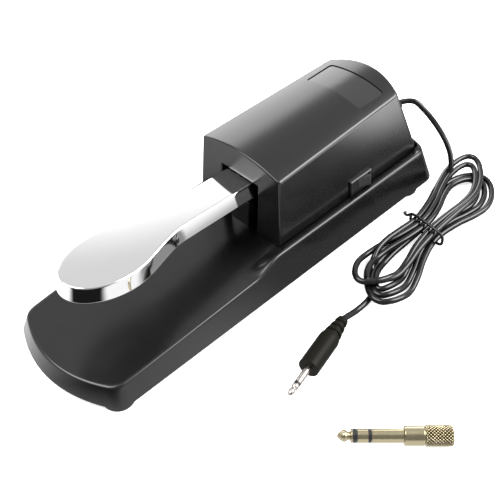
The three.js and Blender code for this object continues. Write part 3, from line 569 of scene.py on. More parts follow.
SIDE_STATIONS = np.concatenate([
    np.linspace(-100, -28, 14), np.linspace(RIM_RISE[0] - 1, RIM_RISE[1] + 1, 20), np.linspace(0, 100, 18)])


def base_outline(lean_front, lean_rear, side_half, inset):
    front = (-BASE_END + lean_front, BASE_CORNER, BASE_BOW["front"])
    rear = (BASE_END - lean_rear, BASE_CORNER, BASE_BOW["rear"])
    return outline(front, rear, side_half, SIDE_STATIONS, inset)


def base_rim(inset):
    return base_outline(BASE_DRAFT["front"], BASE_DRAFT["rear"], rim_half, inset)


def base_foot(inset):
    return base_outline(0, 0, lambda y: np.full(np.shape(y), BASE_HALF), inset)


def base_shell():
    shell = moulding(base_rim, base_foot, base_top, level(0), edge=1.3, foot=0.6)
    hollow = moulding(lambda inset: base_rim(WALL + inset), lambda inset: base_foot(WALL + inset),
                      lambda x, y: platform(y) - WALL, level(-1), 0.6, 0.3, np.linspace(0, 1, 5))
    feet = posts("foot", 8.4, -2, DECK_HEIGHT)
    bosses = posts("plate_screw", 4, 2, DECK_HEIGHT)
    cut(hollow, *feet, *bosses)
    cut(shell, hollow, housing_block(0.6, DECK_HEIGHT, RIM_HEIGHT + 2))
    low, high = box("stop_pad")
    tongue = block((-TONGUE_HALF, 0.3, DECK_HEIGHT - 1), (TONGUE_HALF, high[1] + 0.3, low[2]), 0.5)
    join(shell, tongue)
    holes = posts("foot", 2.9, -1, 6)
    holes += posts("plate_screw", SCREW_HOLE, 1, 10.5)
    holes += posts("housing_screw", SCREW_HOLE, 10, DECK_HEIGHT + 1)
    finished("base_shell", cut(shell, *holes))


def base_plate():
    low, high = box("base_plate")
    inset = BASE_HALF - high[0]

    def edge(more):
        return base_foot(inset + more)

    plate = moulding(edge, edge, level(high[2]), level(low[2]), 0.2, 0.2, np.array([0, 1]))
    notches = posts("foot", 8.8, -1, 3)
    notches += [turned([(0, -1), (4.6, -1), (1.8, 1.6), (1.8, 3), (0, 3)], 32, 0, start=(*at[:2], 0))
                for at in four("plate_screw")]
    finished("base_plate", cut(plate, *notches))


def feet():
    """Rubber feet with a rounded edge, a waist under the base and a shallow ring in the sole."""
    for corner in CORNERS:
        node = f"foot_{corner}"
        low, high = box(node)
        radius = (high[0] - low[0]) / 2
        sole = [(0, FLOOR + 0.4), (3, FLOOR + 0.4), (3.4, FLOOR), (radius - 0.2, FLOOR, 0.9)]
        side = [(radius, -0.4, 0.4), (radius - 0.5, 0, 0.2), (2.5, 0, 0.1)]
        stud = [(2.5, 4.4, 0.2), (1.9, high[2], 0.2), (0, high[2])]
        finished(node, turned(sole + side + stud, 64, 0.2, start=(*centre(node)[:2], 0)))


# ---- housing ----
HOUSING_FRONT = {"half": 27.15, "height": 60.9}
HOUSING_REAR = {"half": 24.3, "height": 63.5, "y": 96.3, "bow": 23}
HOUSING_FOOT = {"half": 29.4, "y": 114, "bow": 15}
HOUSING_CROWN = 4.8
HOUSING_BOTTOM = box("housing")[0][2]
FRONT_CORNER = 1.6
REAR_CORNER = 2.5
ROOF = 3.2
SLOT_HALF = 12.85
SLOT_TOP = 50.9
MOUTH_EDGE = 0.5


def roof_half(y):
    """Half width of the housing along its roof edge."""
    share = np.asarray(y, float) / HOUSING_REAR["y"]
    return mix(HOUSING_FRONT["half"], HOUSING_REAR["half"], share)


def roof_top(x, y):
    """Height of the crowned roof, which climbs towards the back."""
    share = np.asarray(y, float) / HOUSING_REAR["y"]
    edge = mix(HOUSING_FRONT["height"], HOUSING_REAR["height"], share)
    return edge + HOUSING_CROWN * (1 - (x / roof_half(y)) ** 2)


def back_bow(edge):
    """How far the bowed back stands out beyond its corners, at its top or bottom edge."""
    return math.tan(math.radians(edge["bow"])) * edge["half"] / 2


def housing_outline(edge, side_half, inset, corner=FRONT_CORNER):
    """The housing's outline at the level of its back's top or bottom edge."""
    rear = (edge["y"] + back_bow(edge), REAR_CORNER, edge["bow"])
    return outline((0, corner, 0), rear, side_half, np.linspace(3, edge["y"] - 3, 14), inset)


def roof_outline(inset):
    return housing_outline(HOUSING_REAR, roof_half, inset)


def foot_outline(inset, corner=FRONT_CORNER):
    return housing_outline(HOUSING_FOOT, lambda y: np.full(np.shape(y), HOUSING_FOOT["half"]), inset, corner)


def housing_block(clearance, low, high):
    """A cutter for the housing's seat in the base."""
    def edge(inset):
        return foot_outline(inset - clearance, FRONT_CORNER + clearance)

    return moulding(edge, edge, level(high), level(low), 0.1, 0.1, np.array([0, 1]))


def mouth(half_x, half_z, z, depth):
    """A cutter for a rectangular opening in the front wall, whose rim is rounded."""
    rings = []
    for turn in np.linspace(0, np.pi / 2, 5):
        margin = MOUTH_EDGE * (1 - math.sin(turn))
        y = MOUTH_EDGE * (1 - math.cos(turn))
        shape = rounded_rectangle(half_x + margin, half_z + margin, MOUTH_EDGE + margin, 4)
        rings.append(np.column_stack([shape[:, 0], np.full(len(shape), y), z + shape[:, 1]]))
    first, last = rings[0] - (0, 2, 0), rings[-1] + (0, depth, 0)
    return skin([first, *rings, last], capped=True)


PLATE_DEPTH = 0.5


def plate_outline(margin):
    """The name plate's outline, for moulding()."""
    low, high = box("name_plate")
    half = (high - low)[:2] / 2 + margin
    basis = filled_in(rounded_rectangle(*half, 1.6 + margin), 1.5)
    return lambda inset: basis * (half - inset) / half + centre("name_plate")[:2]


def below_roof(depth):
    """The roof's surface, lowered, for moulding()."""
    return lambda x, y: roof_top(x, y) - depth


def plate_body(margin, depth, thickness, edge):
    """The name plate, or a cutter for its recess: both follow the roof's crown."""
    shape = plate_outline(margin)
    under = below_roof(depth + thickness)
    return moulding(shape, shape, below_roof(depth), under, edge, 0.1, np.linspace(0, 1, 10))


def housing():
    shell = moulding(roof_outline, foot_outline, roof_top, level(HOUSING_BOTTOM), edge=1.1, foot=0.4)
    hollow = moulding(lambda inset: roof_outline(WALL + inset), lambda inset: foot_outline(WALL + inset),
                      below_roof(ROOF), level(HOUSING_BOTTOM - 1), 0.6, 0.2, np.linspace(0, 1, 8))
    cut(shell, hollow)
    pillars = posts("housing_screw", 4, HOUSING_BOTTOM, 34)
    low, high = box("rest_pad")
    rib = block((-11, WALL - 0.5, high[2]), (11, high[1] + 0.2, HOUSING_FRONT["height"]), 0.3)
    join(shell, *pillars, rib)
    slot_half_z = (SLOT_TOP - HOUSING_BOTTOM + 6) / 2
    cutters = [mouth(SLOT_HALF, slot_half_z, SLOT_TOP - slot_half_z, WALL - 0.3)]
    cutters += posts("housing_screw", SCREW_HOLE, HOUSING_BOTTOM - 1, 32)
    cutters.append(plate_body(0.12, -2, 2 + PLATE_DEPTH + 1.5, 0.1))
    cutters.append(on_switch(block((-12, -7.8, -4.4), (3, 7.8, 4.4), 0)))
    cutters.append(moved(post(3.5, -8, 8), grommet_frame()))
    finished("housing", cut(shell, *cutters))
    finished("name_plate", plate_body(-0.02, PLATE_DEPTH, 1.2, 0.25))


# ---- lever ----
LEVER_LOW, LEVER_HIGH = box("lever")
LEVER_TOE_HALF = LEVER_HIGH[0]
LEVER_TOE, LEVER_END = LEVER_LOW[1], LEVER_HIGH[1]
LEVER_TOE_LENGTH = 28.8
LEVER_WAIST = 67.6
LEVER_HALF = 10.6
LEVER_TOP = 50.3
LEVER_SLOPE = 0.0395
LEVER_LIP = 8.2
LEVER_TAIL_LIP = 13
LEVER_LIP_STEP = (50, 72)
LEVER_SHEET = 1.8
LEVER_EDGE = 2.4
PIVOT = np.array(centre("pivot_axle"))


def lever_outline(inset):
    """Round toe, a smooth neck, and parallel sides that run back into the housing."""
    turn = np.linspace(0, np.pi / 2, 25)
    toe_x = (LEVER_TOE_HALF - inset) * np.sin(turn)
    toe_y = LEVER_TOE + LEVER_TOE_LENGTH - (LEVER_TOE_LENGTH - inset) * np.cos(turn)
    share = np.linspace(0, 1, 25)[1:]
    neck_x = mix(LEVER_TOE_HALF, LEVER_HALF, ease(share, 0, 1)) - inset
    neck_y = LEVER_TOE + LEVER_TOE_LENGTH + (LEVER_WAIST - LEVER_TOE_LENGTH) * share
    last_y = [80, 88, LEVER_END - inset - 0.5]
    tail_y = np.concatenate([np.linspace(-40, 50, 16), np.linspace(52, 72, 11), last_y])
    tail_x = np.full(len(tail_y), LEVER_HALF - inset)
    end = np.array([[LEVER_HALF - inset - 0.5, LEVER_END - inset], [0, LEVER_END - inset]])
    right = np.vstack([np.column_stack([np.concatenate([toe_x, neck_x, tail_x]),
                                        np.concatenate([toe_y, neck_y, tail_y])]), end])
    return np.concatenate([right, right[-2:0:-1] * (-1, 1)])


def lever():
    """A folded sheet: its top, the rounded edge, the lip, and the same again inside."""
    def at(points, drop):
        deeper = ease(points[:, 1], *LEVER_LIP_STEP)
        depth = mix(LEVER_LIP, LEVER_TAIL_LIP, deeper) if drop == "lip" else drop
        return np.column_stack([points, LEVER_TOP - LEVER_SLOPE * points[:, 1] - depth])

    top, rim = lever_outline(LEVER_EDGE), lever_outline(0)
    spine = towards_spine(top)
    rings = [at(mix(top, spine, share), 0) for share in (1, 0.75, 0.5, 0.25, 0.08)]
    crease, slanted = at(lever_outline(LEVER_EDGE - 0.6), 0), at(lever_outline(0.1), LEVER_LIP - 0.9)
    rings += bend(at(top, 0), crease, mix(crease, slanted, 0.12), 5)
    rings += [mix(crease, slanted, share) for share in (0.4, 0.7, 1)]
    hem = at(rim, "lip")
    raised = (0, 0, 0.5)
    rings += [mix(rings[-1], hem + raised, share) for share in (0.33, 0.66)]
    rings += bend(hem + raised, hem, at(lever_outline(0.5), "lip"), 3)
    inside = lever_outline(LEVER_SHEET)
    inner_hem = at(inside, "lip")
    rings += bend(at(lever_outline(LEVER_SHEET - 0.5), "lip"), inner_hem, inner_hem + raised, 3)
    rings += bend(at(inside, 4), at(inside, 2), at(lever_outline(LEVER_SHEET + 1.2), 2), 3)
    rings.append(at(towards_spine(lever_outline(LEVER_SHEET + 1.2)), 2))
    finished("lever", cut(skin(rings), bar(3.5, -15, 15, PIVOT[1], PIVOT[2])), sharp=40)


# ---- pivot ----
RECESS_DEPTH = 0.9
BRACKET_SHEET = 1.8
EAR_INNER, EAR_OUTER = 11.6, 13.4
CLIP_HALF = 0.35


def pan_head(length):
    """A round-headed screw's profile, its head below the seat at 0."""
    head = [(0, -2), (2.4, -2, 0.5), (3, -0.6, 0.3), (3, 0, 0.1)]
    return head + [(1.4, 0, 0.1), (1.4, length - 1.5), (0, length)]


def screw(node, profile, z, up, face):
    """A turned screw, its profile measured from z, with a cross-shaped recess in the head's face."""
    x, y, _ = centre(node)
    arms = [block((-a, -b, 0), (a, b, RECESS_DEPTH + 1), 0.1, 1) for a, b in ((1.5, 0.35), (0.35, 1.5))]
    recess = place(join(*arms), (0, 0, -up), (x, y, face + up * RECESS_DEPTH))
    finished(node, cut(turned(profile, 32, 0.15, (0, 0, up), (x, y, z)), recess))


def pivot_bracket():
    low, high = box("pivot_bracket")
    bracket = block((low[0], low[1], low[2]), (high[0], high[1], low[2] + BRACKET_SHEET), 0.5)
    ears = []
    for _, sign in SIDES:
        x0, x1 = sorted((sign * EAR_INNER, sign * EAR_OUTER))
        ears.append(block((x0, PIVOT[1] - 7, low[2] + 1), (x1, PIVOT[1] + 7, high[2]), 0.5))
    join(bracket, *ears)
    holes = [bar(2.05, -20, 20, PIVOT[1], PIVOT[2])]
    for side, _ in SIDES:
        node, seat = f"bracket_screw_{side}", low[2] + BRACKET_SHEET
        holes.append(post(SCREW_HOLE, low[2] - 1, low[2] + 4, *centre(node)[:2]))
        screw(node, pan_head(9), seat, -1, seat + 2)
    finished("pivot_bracket", cut(bracket, *holes))


def pivot_axle():
    """The axle, grooved at each end for a clip, and the bushes between the lever and the bracket."""
    half = box("pivot_axle")[1][0]
    groove = centre("axle_clip_right")[0]
    before, after = groove - 0.5, groove + 0.5
    ends = [(0, -half), (2, -half, 0.3), (2, -after, 0.05), (1.5, -after), (1.5, -before), (2, -before)]
    axle = ends + [(2, before), (1.5, before), (1.5, after), (2, after), (2, half, 0.3), (0, half)]
    finished("pivot_axle", turned(axle, 40, 0.05, (1, 0, 0), (0, PIVOT[1], PIVOT[2])))
    start, lip, ear = LEVER_HALF - LEVER_SHEET - 0.4, LEVER_HALF + 0.15, EAR_INNER - 0.15
    bush = [(2.07, start), (3.2, start), (3.2, lip), (4.8, lip), (4.8, ear), (2.07, ear), (2.07, start)]
    clip = [(1.7, -CLIP_HALF), (3.6, -CLIP_HALF), (3.6, CLIP_HALF), (1.7, CLIP_HALF), (1.7, -CLIP_HALF)]
    for side, sign in SIDES:
        ring = cut(turned(clip, 40, 0.12), block((-1.3, -5, -1), (1.3, 0, 1), 0.2))
        finished(f"axle_clip_{side}", place(ring, (1, 0, 0), (sign * groove, PIVOT[1], PIVOT[2])))
        finished(f"pivot_bush_{side}", turned(bush, 40, 0.12, (sign, 0, 0), (0, PIVOT[1], PIVOT[2])))


def other_screws():
    seat = DECK_HEIGHT - WALL
    countersunk = [(0, 0.2), (3.1, 0.2, 0.1), (1.4, 1.7), (1.4, 8.8), (0, 9.6)]
    for corner in CORNERS:
        screw(f"housing_screw_{corner}", pan_head(13), seat, 1, seat - 2)
        screw(f"plate_screw_{corner}", countersunk, 0, 1, 0.2)
    for node in ("board_screw_front", "board_screw_rear"):
        (_, _, bottom), (_, _, top) = box(node)
        head = [(0, top), (1.6, top, 0.3), (2.3, top - 0.6, 0.2), (2.3, top - 1.5)]
        screw(node, head + [(1, top - 1.5), (1, bottom + 0.6), (0, bottom)], 0, 1, top)


# ---- spring, pads, board and contact switch ----
SPRING_WIRE = 0.75
SPRING_TURNS = 6


def return_spring():
    """A helix of round wire that fills the node's box, with a mesh of its own."""
    low, high = box("return_spring")
    at = centre("return_spring")
    radius = (high[0] - low[0]) / 2 - SPRING_WIRE
    share = np.linspace(0, 1, 400)
    rise = mix(low[2] + SPRING_WIRE, high[2] - SPRING_WIRE, ease(share, -0.08, 1.08))
    angle = 2 * np.pi * SPRING_TURNS * share
    path = np.column_stack([radius * np.cos(angle), at[1] + radius * np.sin(angle), rise])
    spring = finished("return_spring", swept(through(path[::4], 0.7), SPRING_WIRE, 14))
    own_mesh(spring)


def spring_ends():
    """The seat and the cap: discs whose bosses stand inside the spring."""
    y = centre("return_spring")[1]
    (_, _, bottom), (_, _, top) = box("spring_seat")
    flange = bottom + 1.8
    seat = [(0, bottom), (7.6, bottom), (7.6, flange, 0.4), (3.8, flange), (3.4, top, 0.6), (0, top)]
    finished("spring_seat", turned(seat, 48, 0.2, start=(0, y, 0)))
    (_, _, bottom), (_, _, top) = box("spring_cap")
    flange = top - 1.4
    cap = [(0, bottom), (3.4, bottom, 0.6), (3.8, flange), (6.8, flange, 0.3), (6.8, top, 0.3), (0, top)]
    finished("spring_cap", turned(cap, 48, 0.2, start=(0, y, 0)))


def pads_and_board():
    finished("stop_pad", block(*box("stop_pad"), 0.5))
    finished("rest_pad", block(*box("rest_pad"), 0.7))
    low, high = box("circuit_board")
    holes = [post(1.4, low[2] - 1, high[2] + 1, x, y) for x in (11, -11) for y in (62, 77)]
    finished("circuit_board", cut(block(low, high, 0.15, 1), *holes))
    low, high = box("contact_switch")
    at = centre("contact_plunger")
    bore = post(1.58, low[2] + 1.5, high[2] + 1, 0, at[1])
    finished("contact_switch", cut(block(low, high, 0.5), bore))
    low, high = box("contact_plunger")
    radius = (high[0] - low[0]) / 2
    plunger = [(0, low[2]), (radius, low[2]), (radius, high[2], 0.4), (0, high[2])]
    finished("contact_plunger", turned(plunger, 40, 0.1, start=(0, at[1], 0)))


# ---- polarity switch ----
SWITCH_PLACE = (28.76, 63, 25.3)
SWITCH_HALF = {"flange": 4.7, "body": 4.1, "window": 3.5, "rocker": 3.2}
WALL_LEAN = math.radians(5.4)
ROCKER_TILT = math.radians(9)
ROCKER_AXIS_X = -1
RIB_COUNT = 5


def on_switch(shape):
    """From the switch's own axes, X out of the wall and Y along it, to the part's."""
    return moved(shape, Matrix.Translation(SWITCH_PLACE) @ Matrix.Rotation(-WALL_LEAN, 4, "Y"))


def polarity_switch():
    """A bevelled flange with a window, and the body behind it."""
    flange_half, body_half, window_half, _ = SWITCH_HALF.values()
    flange = block((0.3, -8.5, -flange_half), (1.6, 8.5, flange_half), 0)
    bevel = bmesh.new()
    bevel.from_mesh(flange.data)
    outer = [edge for edge in bevel.edges if all(vertex.co.x > 1 for vertex in edge.verts)]
    bmesh.ops.bevel(bevel, geom=outer, offset=0.9, segments=3, profile=0.5, affect="EDGES")
    bevel.to_mesh(flange.data)
    bevel.free()
    join(flange, block((-8, -7.5, -body_half), (0.6, 7.5, body_half), 0.3))
    cut(flange, block((-6.2, -6.9, -window_half), (3, 6.9, window_half), 0.25))
    finished("polarity_switch", on_switch(flange), sharp=25)


def polarity_rocker():
    """A rocker with ribs on its front half, tipped to one side, and two wires to the board."""
    half = SWITCH_HALF["rocker"]
    ribs = []
    for i in range(RIB_COUNT):
        y = -5.5 + 0.98 * i
        groove = 0.9 + 1.3 * abs(y) / 6.1
        crest = groove + 0.5
        ribs += [(groove, y - 0.32), (crest, y - 0.15), (crest, y + 0.15), (groove, y + 0.32)]
    face = [(2.45, -6.1), *ribs, (1.3, -0.5), (1.3, 0), (2.2, 4.4), (2.6, 5.7), (2.5, 6.1)]
    back = [(-1.4, 5.6), (-4, 1.8), (-4, -1.8), (-1.4, -5.6)]
    profile = np.array(face + back) - (ROCKER_AXIS_X, 0)
    rings = [np.column_stack([profile * shrink, np.full(len(profile), z)])
             for z, shrink in ((-half, 0.96), (-half + 0.25, 1), (half - 0.25, 1), (half, 0.96))]
    rocker = skin(rings, capped=True)
    tilt = Matrix.Translation((ROCKER_AXIS_X, 0, 0)) @ Matrix.Rotation(-ROCKER_TILT, 4, "Z")
    finished("polarity_rocker", on_switch(moved(rocker, tilt)), sharp=25, look="rocker_plastic")
    for offset, node in ((-2, "switch_wire_front"), (2, "switch_wire_rear")):
        points = [(20, 63, 26.2), (17.4, 64.6, 27.4), (13.2, 67, 27.2), (11.8, 68.4, 25.7)]
        finished(node, swept(through([(x, y + offset, z) for x, y, z in points], 0.4), 0.55, 12))


# ---- grommet and lead ----
CABLE_RADIUS = 1.6
GROMMET = {"x": 12, "z": 40.2, "lean": 22.6, "yaw": 8.5}


def back_wall(x, z):
    """Distance back to the housing's outer wall, at a place and height on its back."""
    bowed = 1 - (x / HOUSING_REAR["half"]) ** 2
    bottom, top = [edge["y"] + back_bow(edge) * bowed for edge in (HOUSING_FOOT, HOUSING_REAR)]
    return mix(bottom, top, (z - HOUSING_BOTTOM) / (roof_top(x, HOUSING_REAR["y"]) - HOUSING_BOTTOM))


def grommet_frame():
    """The grommet's own axes, Z out of the sloping back, to the part's."""
    lean, yaw = math.radians(GROMMET["lean"]), math.radians(GROMMET["yaw"])
    turn = Matrix.Rotation(-yaw, 4, "Z") @ Matrix.Rotation(-math.pi / 2 + lean, 4, "X")
    return Matrix.Translation((GROMMET["x"], back_wall(GROMMET["x"], GROMMET["z"]), GROMMET["z"])) @ turn


def grommet():
    bore = CABLE_RADIUS + 0.1
    profile = [(bore, -4.5), (3.2, -4.5), (3.2, 0.6), (4.6, 0.6), (4.6, 2.2, 0.6), (3.3, 2.2)]
    profile += [(3.1, 3.4), (2.5, 3.6), (2.5, 4.2), (2.9, 4.4), (2.6, 5.8, 0.4), (bore, 5.8), (bore, -4.5)]
    finished("cable_grommet", moved(turned(profile, 48, 0.12), grommet_frame()))


TIE_AT = np.array([64, 80.5])
LAYER_LOW = FLOOR + CABLE_RADIUS + 0.1
LAYER_STEP = 3.4
LOOPS_PER_LAYER = 3
TIE_LIFT = 2.3
# Each half loop's shift sideways, its reach from the tie, and half its width.
UPPER_LOOPS = [(-10, 64, 20), (-5, 61.5, 19.5), (-6, 58, 15.5), (-7, 54.5, 11.5), (-15, 62, 12),
               (-18, 69, 15.5)]
LOWER_LOOPS = [(13.5, 60.5, 18.5), (11.5, 57, 14), (9.5, 53.5, 9.5), (4.5, 55, 10.5), (0.5, 58.5, 15)]


def coil_point(turn):
    """A point of the bundle: turns run inwards on the floor, then outwards on top of those."""
    depth = turn if turn <= LOOPS_PER_LAYER else 2 * LOOPS_PER_LAYER - turn
    angle = 2 * math.pi * turn
    along = math.cos(angle)
    loops = UPPER_LOOPS if along >= 0 else LOWER_LOOPS
    index = round(turn) if along >= 0 else round(turn - 0.5)
    lean, reach, lobe = loops[min(index, len(loops) - 1)]
    spread = ease(abs(along), 0, 0.8)
    gathered = 10.2 - 3.3 * depth
    across = -math.sin(angle) * mix(gathered, lobe, spread) + lean * abs(along) ** 1.2
    lift = 3.3 * ease(abs(along), 0.6, 0.9) if along < 0 else 0
    height = LAYER_LOW + LAYER_STEP * ease(turn, 2.95, 3.2) + lift + TIE_LIFT * (1 - spread)
    return (TIE_AT[0] + across, TIE_AT[1] + math.copysign(abs(along) ** 0.85, along) * reach, height)


def lead_path():
    """From the board, out at the back, round the bundle and into the plug."""
    inside = [(12.2, 76, 28.6), (15.9, 80, 28.8), (16.4, 88, 30.5), (15.7, 94, 33), (13.2, 98, 35.2)]
    throat = [tuple(grommet_frame() @ Vector((0, 0, height))) for height in (-8, -4, 3, 6.5)]
    drop = [(18.5, 121, 43.4), (24.2, 123.3, 39.4), (29.7, 125.8, 33.2), (34.4, 128.3, 26),
            (38.2, 130.3, 18.7), (41.2, 131.1, 11.8), (43.3, 130.1, 5.9), (44.8, 127.4, 1.4)]
    loops = [coil_point(turn) for turn in np.arange(0.14, 5.27, 1 / 28)]
    top = LAYER_LOW + 2 * LAYER_STEP
    over = [(56.2, 66, top), (55.8, 56, top), (56.8, 46.5, top - 1)]
    down = [(59.6, 39.5, LAYER_LOW + 3), (63.6, 34.6, LAYER_LOW + 1)]
    tail = [(x, y, LAYER_LOW) for x, y in ((68, 30.6), (71.6, 26), (73.4, 19.5), (73.8, 10))]
    entry = [tuple(PLUG_START), tuple(PLUG_START + 5 * PLUG_AXIS)]
    return through(inside + throat + drop + loops + over + down + tail + entry, 1.1)


TIE_WIRE = 0.8
TIE_HALF = 12.1
TIE_START = math.radians(155)
TIE_TURN = math.radians(350)


def cable_tie():
    """A round wire tie: over the bundle, under it, and a small curl at its left end."""
    low = FLOOR + TIE_WIRE + 0.05
    high = LAYER_LOW + LAYER_STEP + TIE_LIFT + CABLE_RADIUS + TIE_WIRE + 0.6
    middle, tall = (low + high) / 2, (high - low) / 2
    points = []
    for turn in np.linspace(TIE_START, TIE_START - TIE_TURN, 60):
        x = TIE_HALF * math.copysign(abs(math.cos(turn)) ** 0.55, math.cos(turn))
        z = middle + tall * math.copysign(abs(math.sin(turn)) ** 0.55, math.sin(turn))
        shift = 1.6 * (TIE_START - turn) / TIE_TURN
        points.append((TIE_AT[0] + x, TIE_AT[1] - 1.5 + shift - 0.12 * x, z))
    curl = [points[0] + np.array([-1.6 - 2.2 * math.sin(turn), -0.6, -0.5 - 0.9 * math.cos(turn)])
            for turn in (2.6, 1.2, 0.2)]
    finished("cable_tie", swept(through([*curl, *points], 0.7), TIE_WIRE, 16))


# ---- plug and adapter ----
PLUG_RADIUS = 5.3
ADAPTER_RADIUS = 4.85
PLUG_START = np.array([74.9, -2.2, FLOOR + PLUG_RADIUS])
PLUG_END = np.array([87.6, -55.2, FLOOR + PLUG_RADIUS])
PLUG_AXIS = unit(PLUG_END - PLUG_START)
ADAPTER_TIP = np.array([118.2, -56.95, FLOOR + ADAPTER_RADIUS])
ADAPTER_END = np.array([155.2, -20.15, FLOOR + ADAPTER_RADIUS])
ADAPTER_AXIS = unit(ADAPTER_END - ADAPTER_TIP)
SHANK = 1.75
GRIP_LENGTH = 36.2
SHANK_END = 48.2


def plug_grip():
    """A moulded grip with three flexible rings where the lead enters."""
    bore = CABLE_RADIUS + 0.1
    hole = SHANK + 0.1
    grip = [(bore, 0), (2.75, 0, 0.4)]
    for i in range(3):
        start = 3 + 4 * i
        ring = 3.3 + 0.6 * i
        groove = [(ring - 0.75, start + 0.4), (ring - 0.7, start + 1.5)]
        grip += [(ring, start, 0.25), *groove, (ring + 0.2, start + 1.9, 0.25)]
    grip += [(PLUG_RADIUS, 15.2, 1), (PLUG_RADIUS, GRIP_LENGTH, 0.3), (hole, GRIP_LENGTH)]
    grip += [(hole, GRIP_LENGTH - 4), (0.6, GRIP_LENGTH - 4), (0.6, 8), (bore, 8), (bore, 0)]
    finished("plug_grip", turned(grip, 64, 0.08, PLUG_AXIS, PLUG_START), look="grip_pvc")


def plug_pin():
    """The sleeve, a black ring and the tip."""
    collar = SHANK_END - 1.5
    nose = [(SHANK, 0), (SHANK, 1.3, 0.2), (1.2, 2.6, 0.4), (1.35, 3.2, 0.3), (1.6, 4.2, 0.5),
            (1.2, 5.8, 0.5), (0.4, 6.8, 0.2), (0, 6.8)]
    parts = {
        "sleeve": rod(SHANK, GRIP_LENGTH - 3.6, collar),
        "insulator": rod(SHANK - 0.02, collar + 0.3, collar + 1.2),
        "tip": [(0, SHANK_END), *[(radius, SHANK_END + along, *corner) for radius, along, *corner in nose]],
    }
    for node, profile in parts.items():
        finished(f"plug_{node}", turned(profile, 64, 0.08, PLUG_AXIS, PLUG_START))


def knurled(low, high, radius, pitch, depth):
    """Rings for the barrel's grip, where crossing spiral grooves leave diamonds, and their angles."""
    around = round(2 * math.pi * radius / pitch)
    angle = np.linspace(0, 2 * np.pi, around * 10, endpoint=False)
    rings = []
    for height in np.linspace(low, high, int((high - low) / pitch * 10)):
        spirals = [angle * around / (2 * np.pi) + sign * height / pitch for sign in (1, -1)]
        groove = np.max([np.exp(-((spiral - np.round(spiral)) / 0.17) ** 2) for spiral in spirals], axis=0)
        fade = ease(height, low, low + 0.3) * ease(high - height, 0, 0.3)
        rounding = 0.3 * (1 - ease(height, low, low + 0.3)) + 0.3 * ease(height, high - 0.3, high)
        r = radius - depth * groove * fade - rounding
        rings.append(circle(r, angle, height))
    return rings, angle


def adapter_pin():
    """A 6.35 mm plug: tip, ring and sleeve with a black ring between each two."""
    shank = 3.175
    nose = [(0, 0), (0.7, 0.15, 0.4), (1.9, 1.4, 0.8), (2.75, 2.9, 0.9), (2.7, 3.7, 0.6), (1.75, 5.1, 0.6)]
    parts = {
        "tip": nose + [(1.9, 5.9, 0.4), (shank, 6.35, 0.15), (shank, 6.9), (0, 6.9)],
        "front_insulator": rod(shank - 0.02, 7.2, 8.9),
        "ring": rod(shank, 9.2, 13.9),
        "rear_insulator": rod(shank - 0.02, 14.2, 15.3),
        "sleeve": rod(shank, 15.6, 29.9),
    }
    for node, profile in parts.items():
        finished(f"adapter_{node}", turned(profile, 64, 0.08, ADAPTER_AXIS, ADAPTER_TIP))


def adapter_barrel():
    """A smooth collar and a knurled grip, with the socket in its end."""
    knurl, angle = knurled(39.8, 51.9, ADAPTER_RADIUS, pitch=1.6, depth=0.6)
    collar = [(0, 30.2), (4.5, 30.2, 0.3), (4.5, 39, 0.2), (4.15, 39.3, 0.1), (4.15, 39.6, 0.1), (4.4, 39.75)]
    bore = SHANK + 0.15
    socket = [(4.45, 52), (4.3, 52.2, 0.1), (bore, 52.2, 0.2), (bore, 36.5), (0, 36.5)]
    front, back = [[circle(radius, angle, height) for radius, height in soften(profile, rounding)]
                   for profile, rounding in ((collar, 0.2), (socket, 0.1))]
    barrel = place(skin(front + knurl + back), ADAPTER_AXIS, ADAPTER_TIP)
    finished("adapter_barrel", barrel, sharp=45)


# ---- stage ----
FLOOR_GLOW = 0.75
# radiance of the painted pool of light that glossy surfaces see on the table at the back right
POOL_RADIANCE = 3.8
SKY = 0.78
SOFTBOXES = [
    # towards the box, cosines of its outer and inner rim, and what it adds
    ((-0.82, 0.56, 0.14), 0.827, 0.912, 3.0),
    ((0.46, 0.58, 0.67), 0.90, 0.975, 10),
    ((-0.27, -0.33, 0.9), 0.91, 0.97, 7),
    ((0.5, -0.8, 0.3), 0.3, 0.8, -0.45),
]


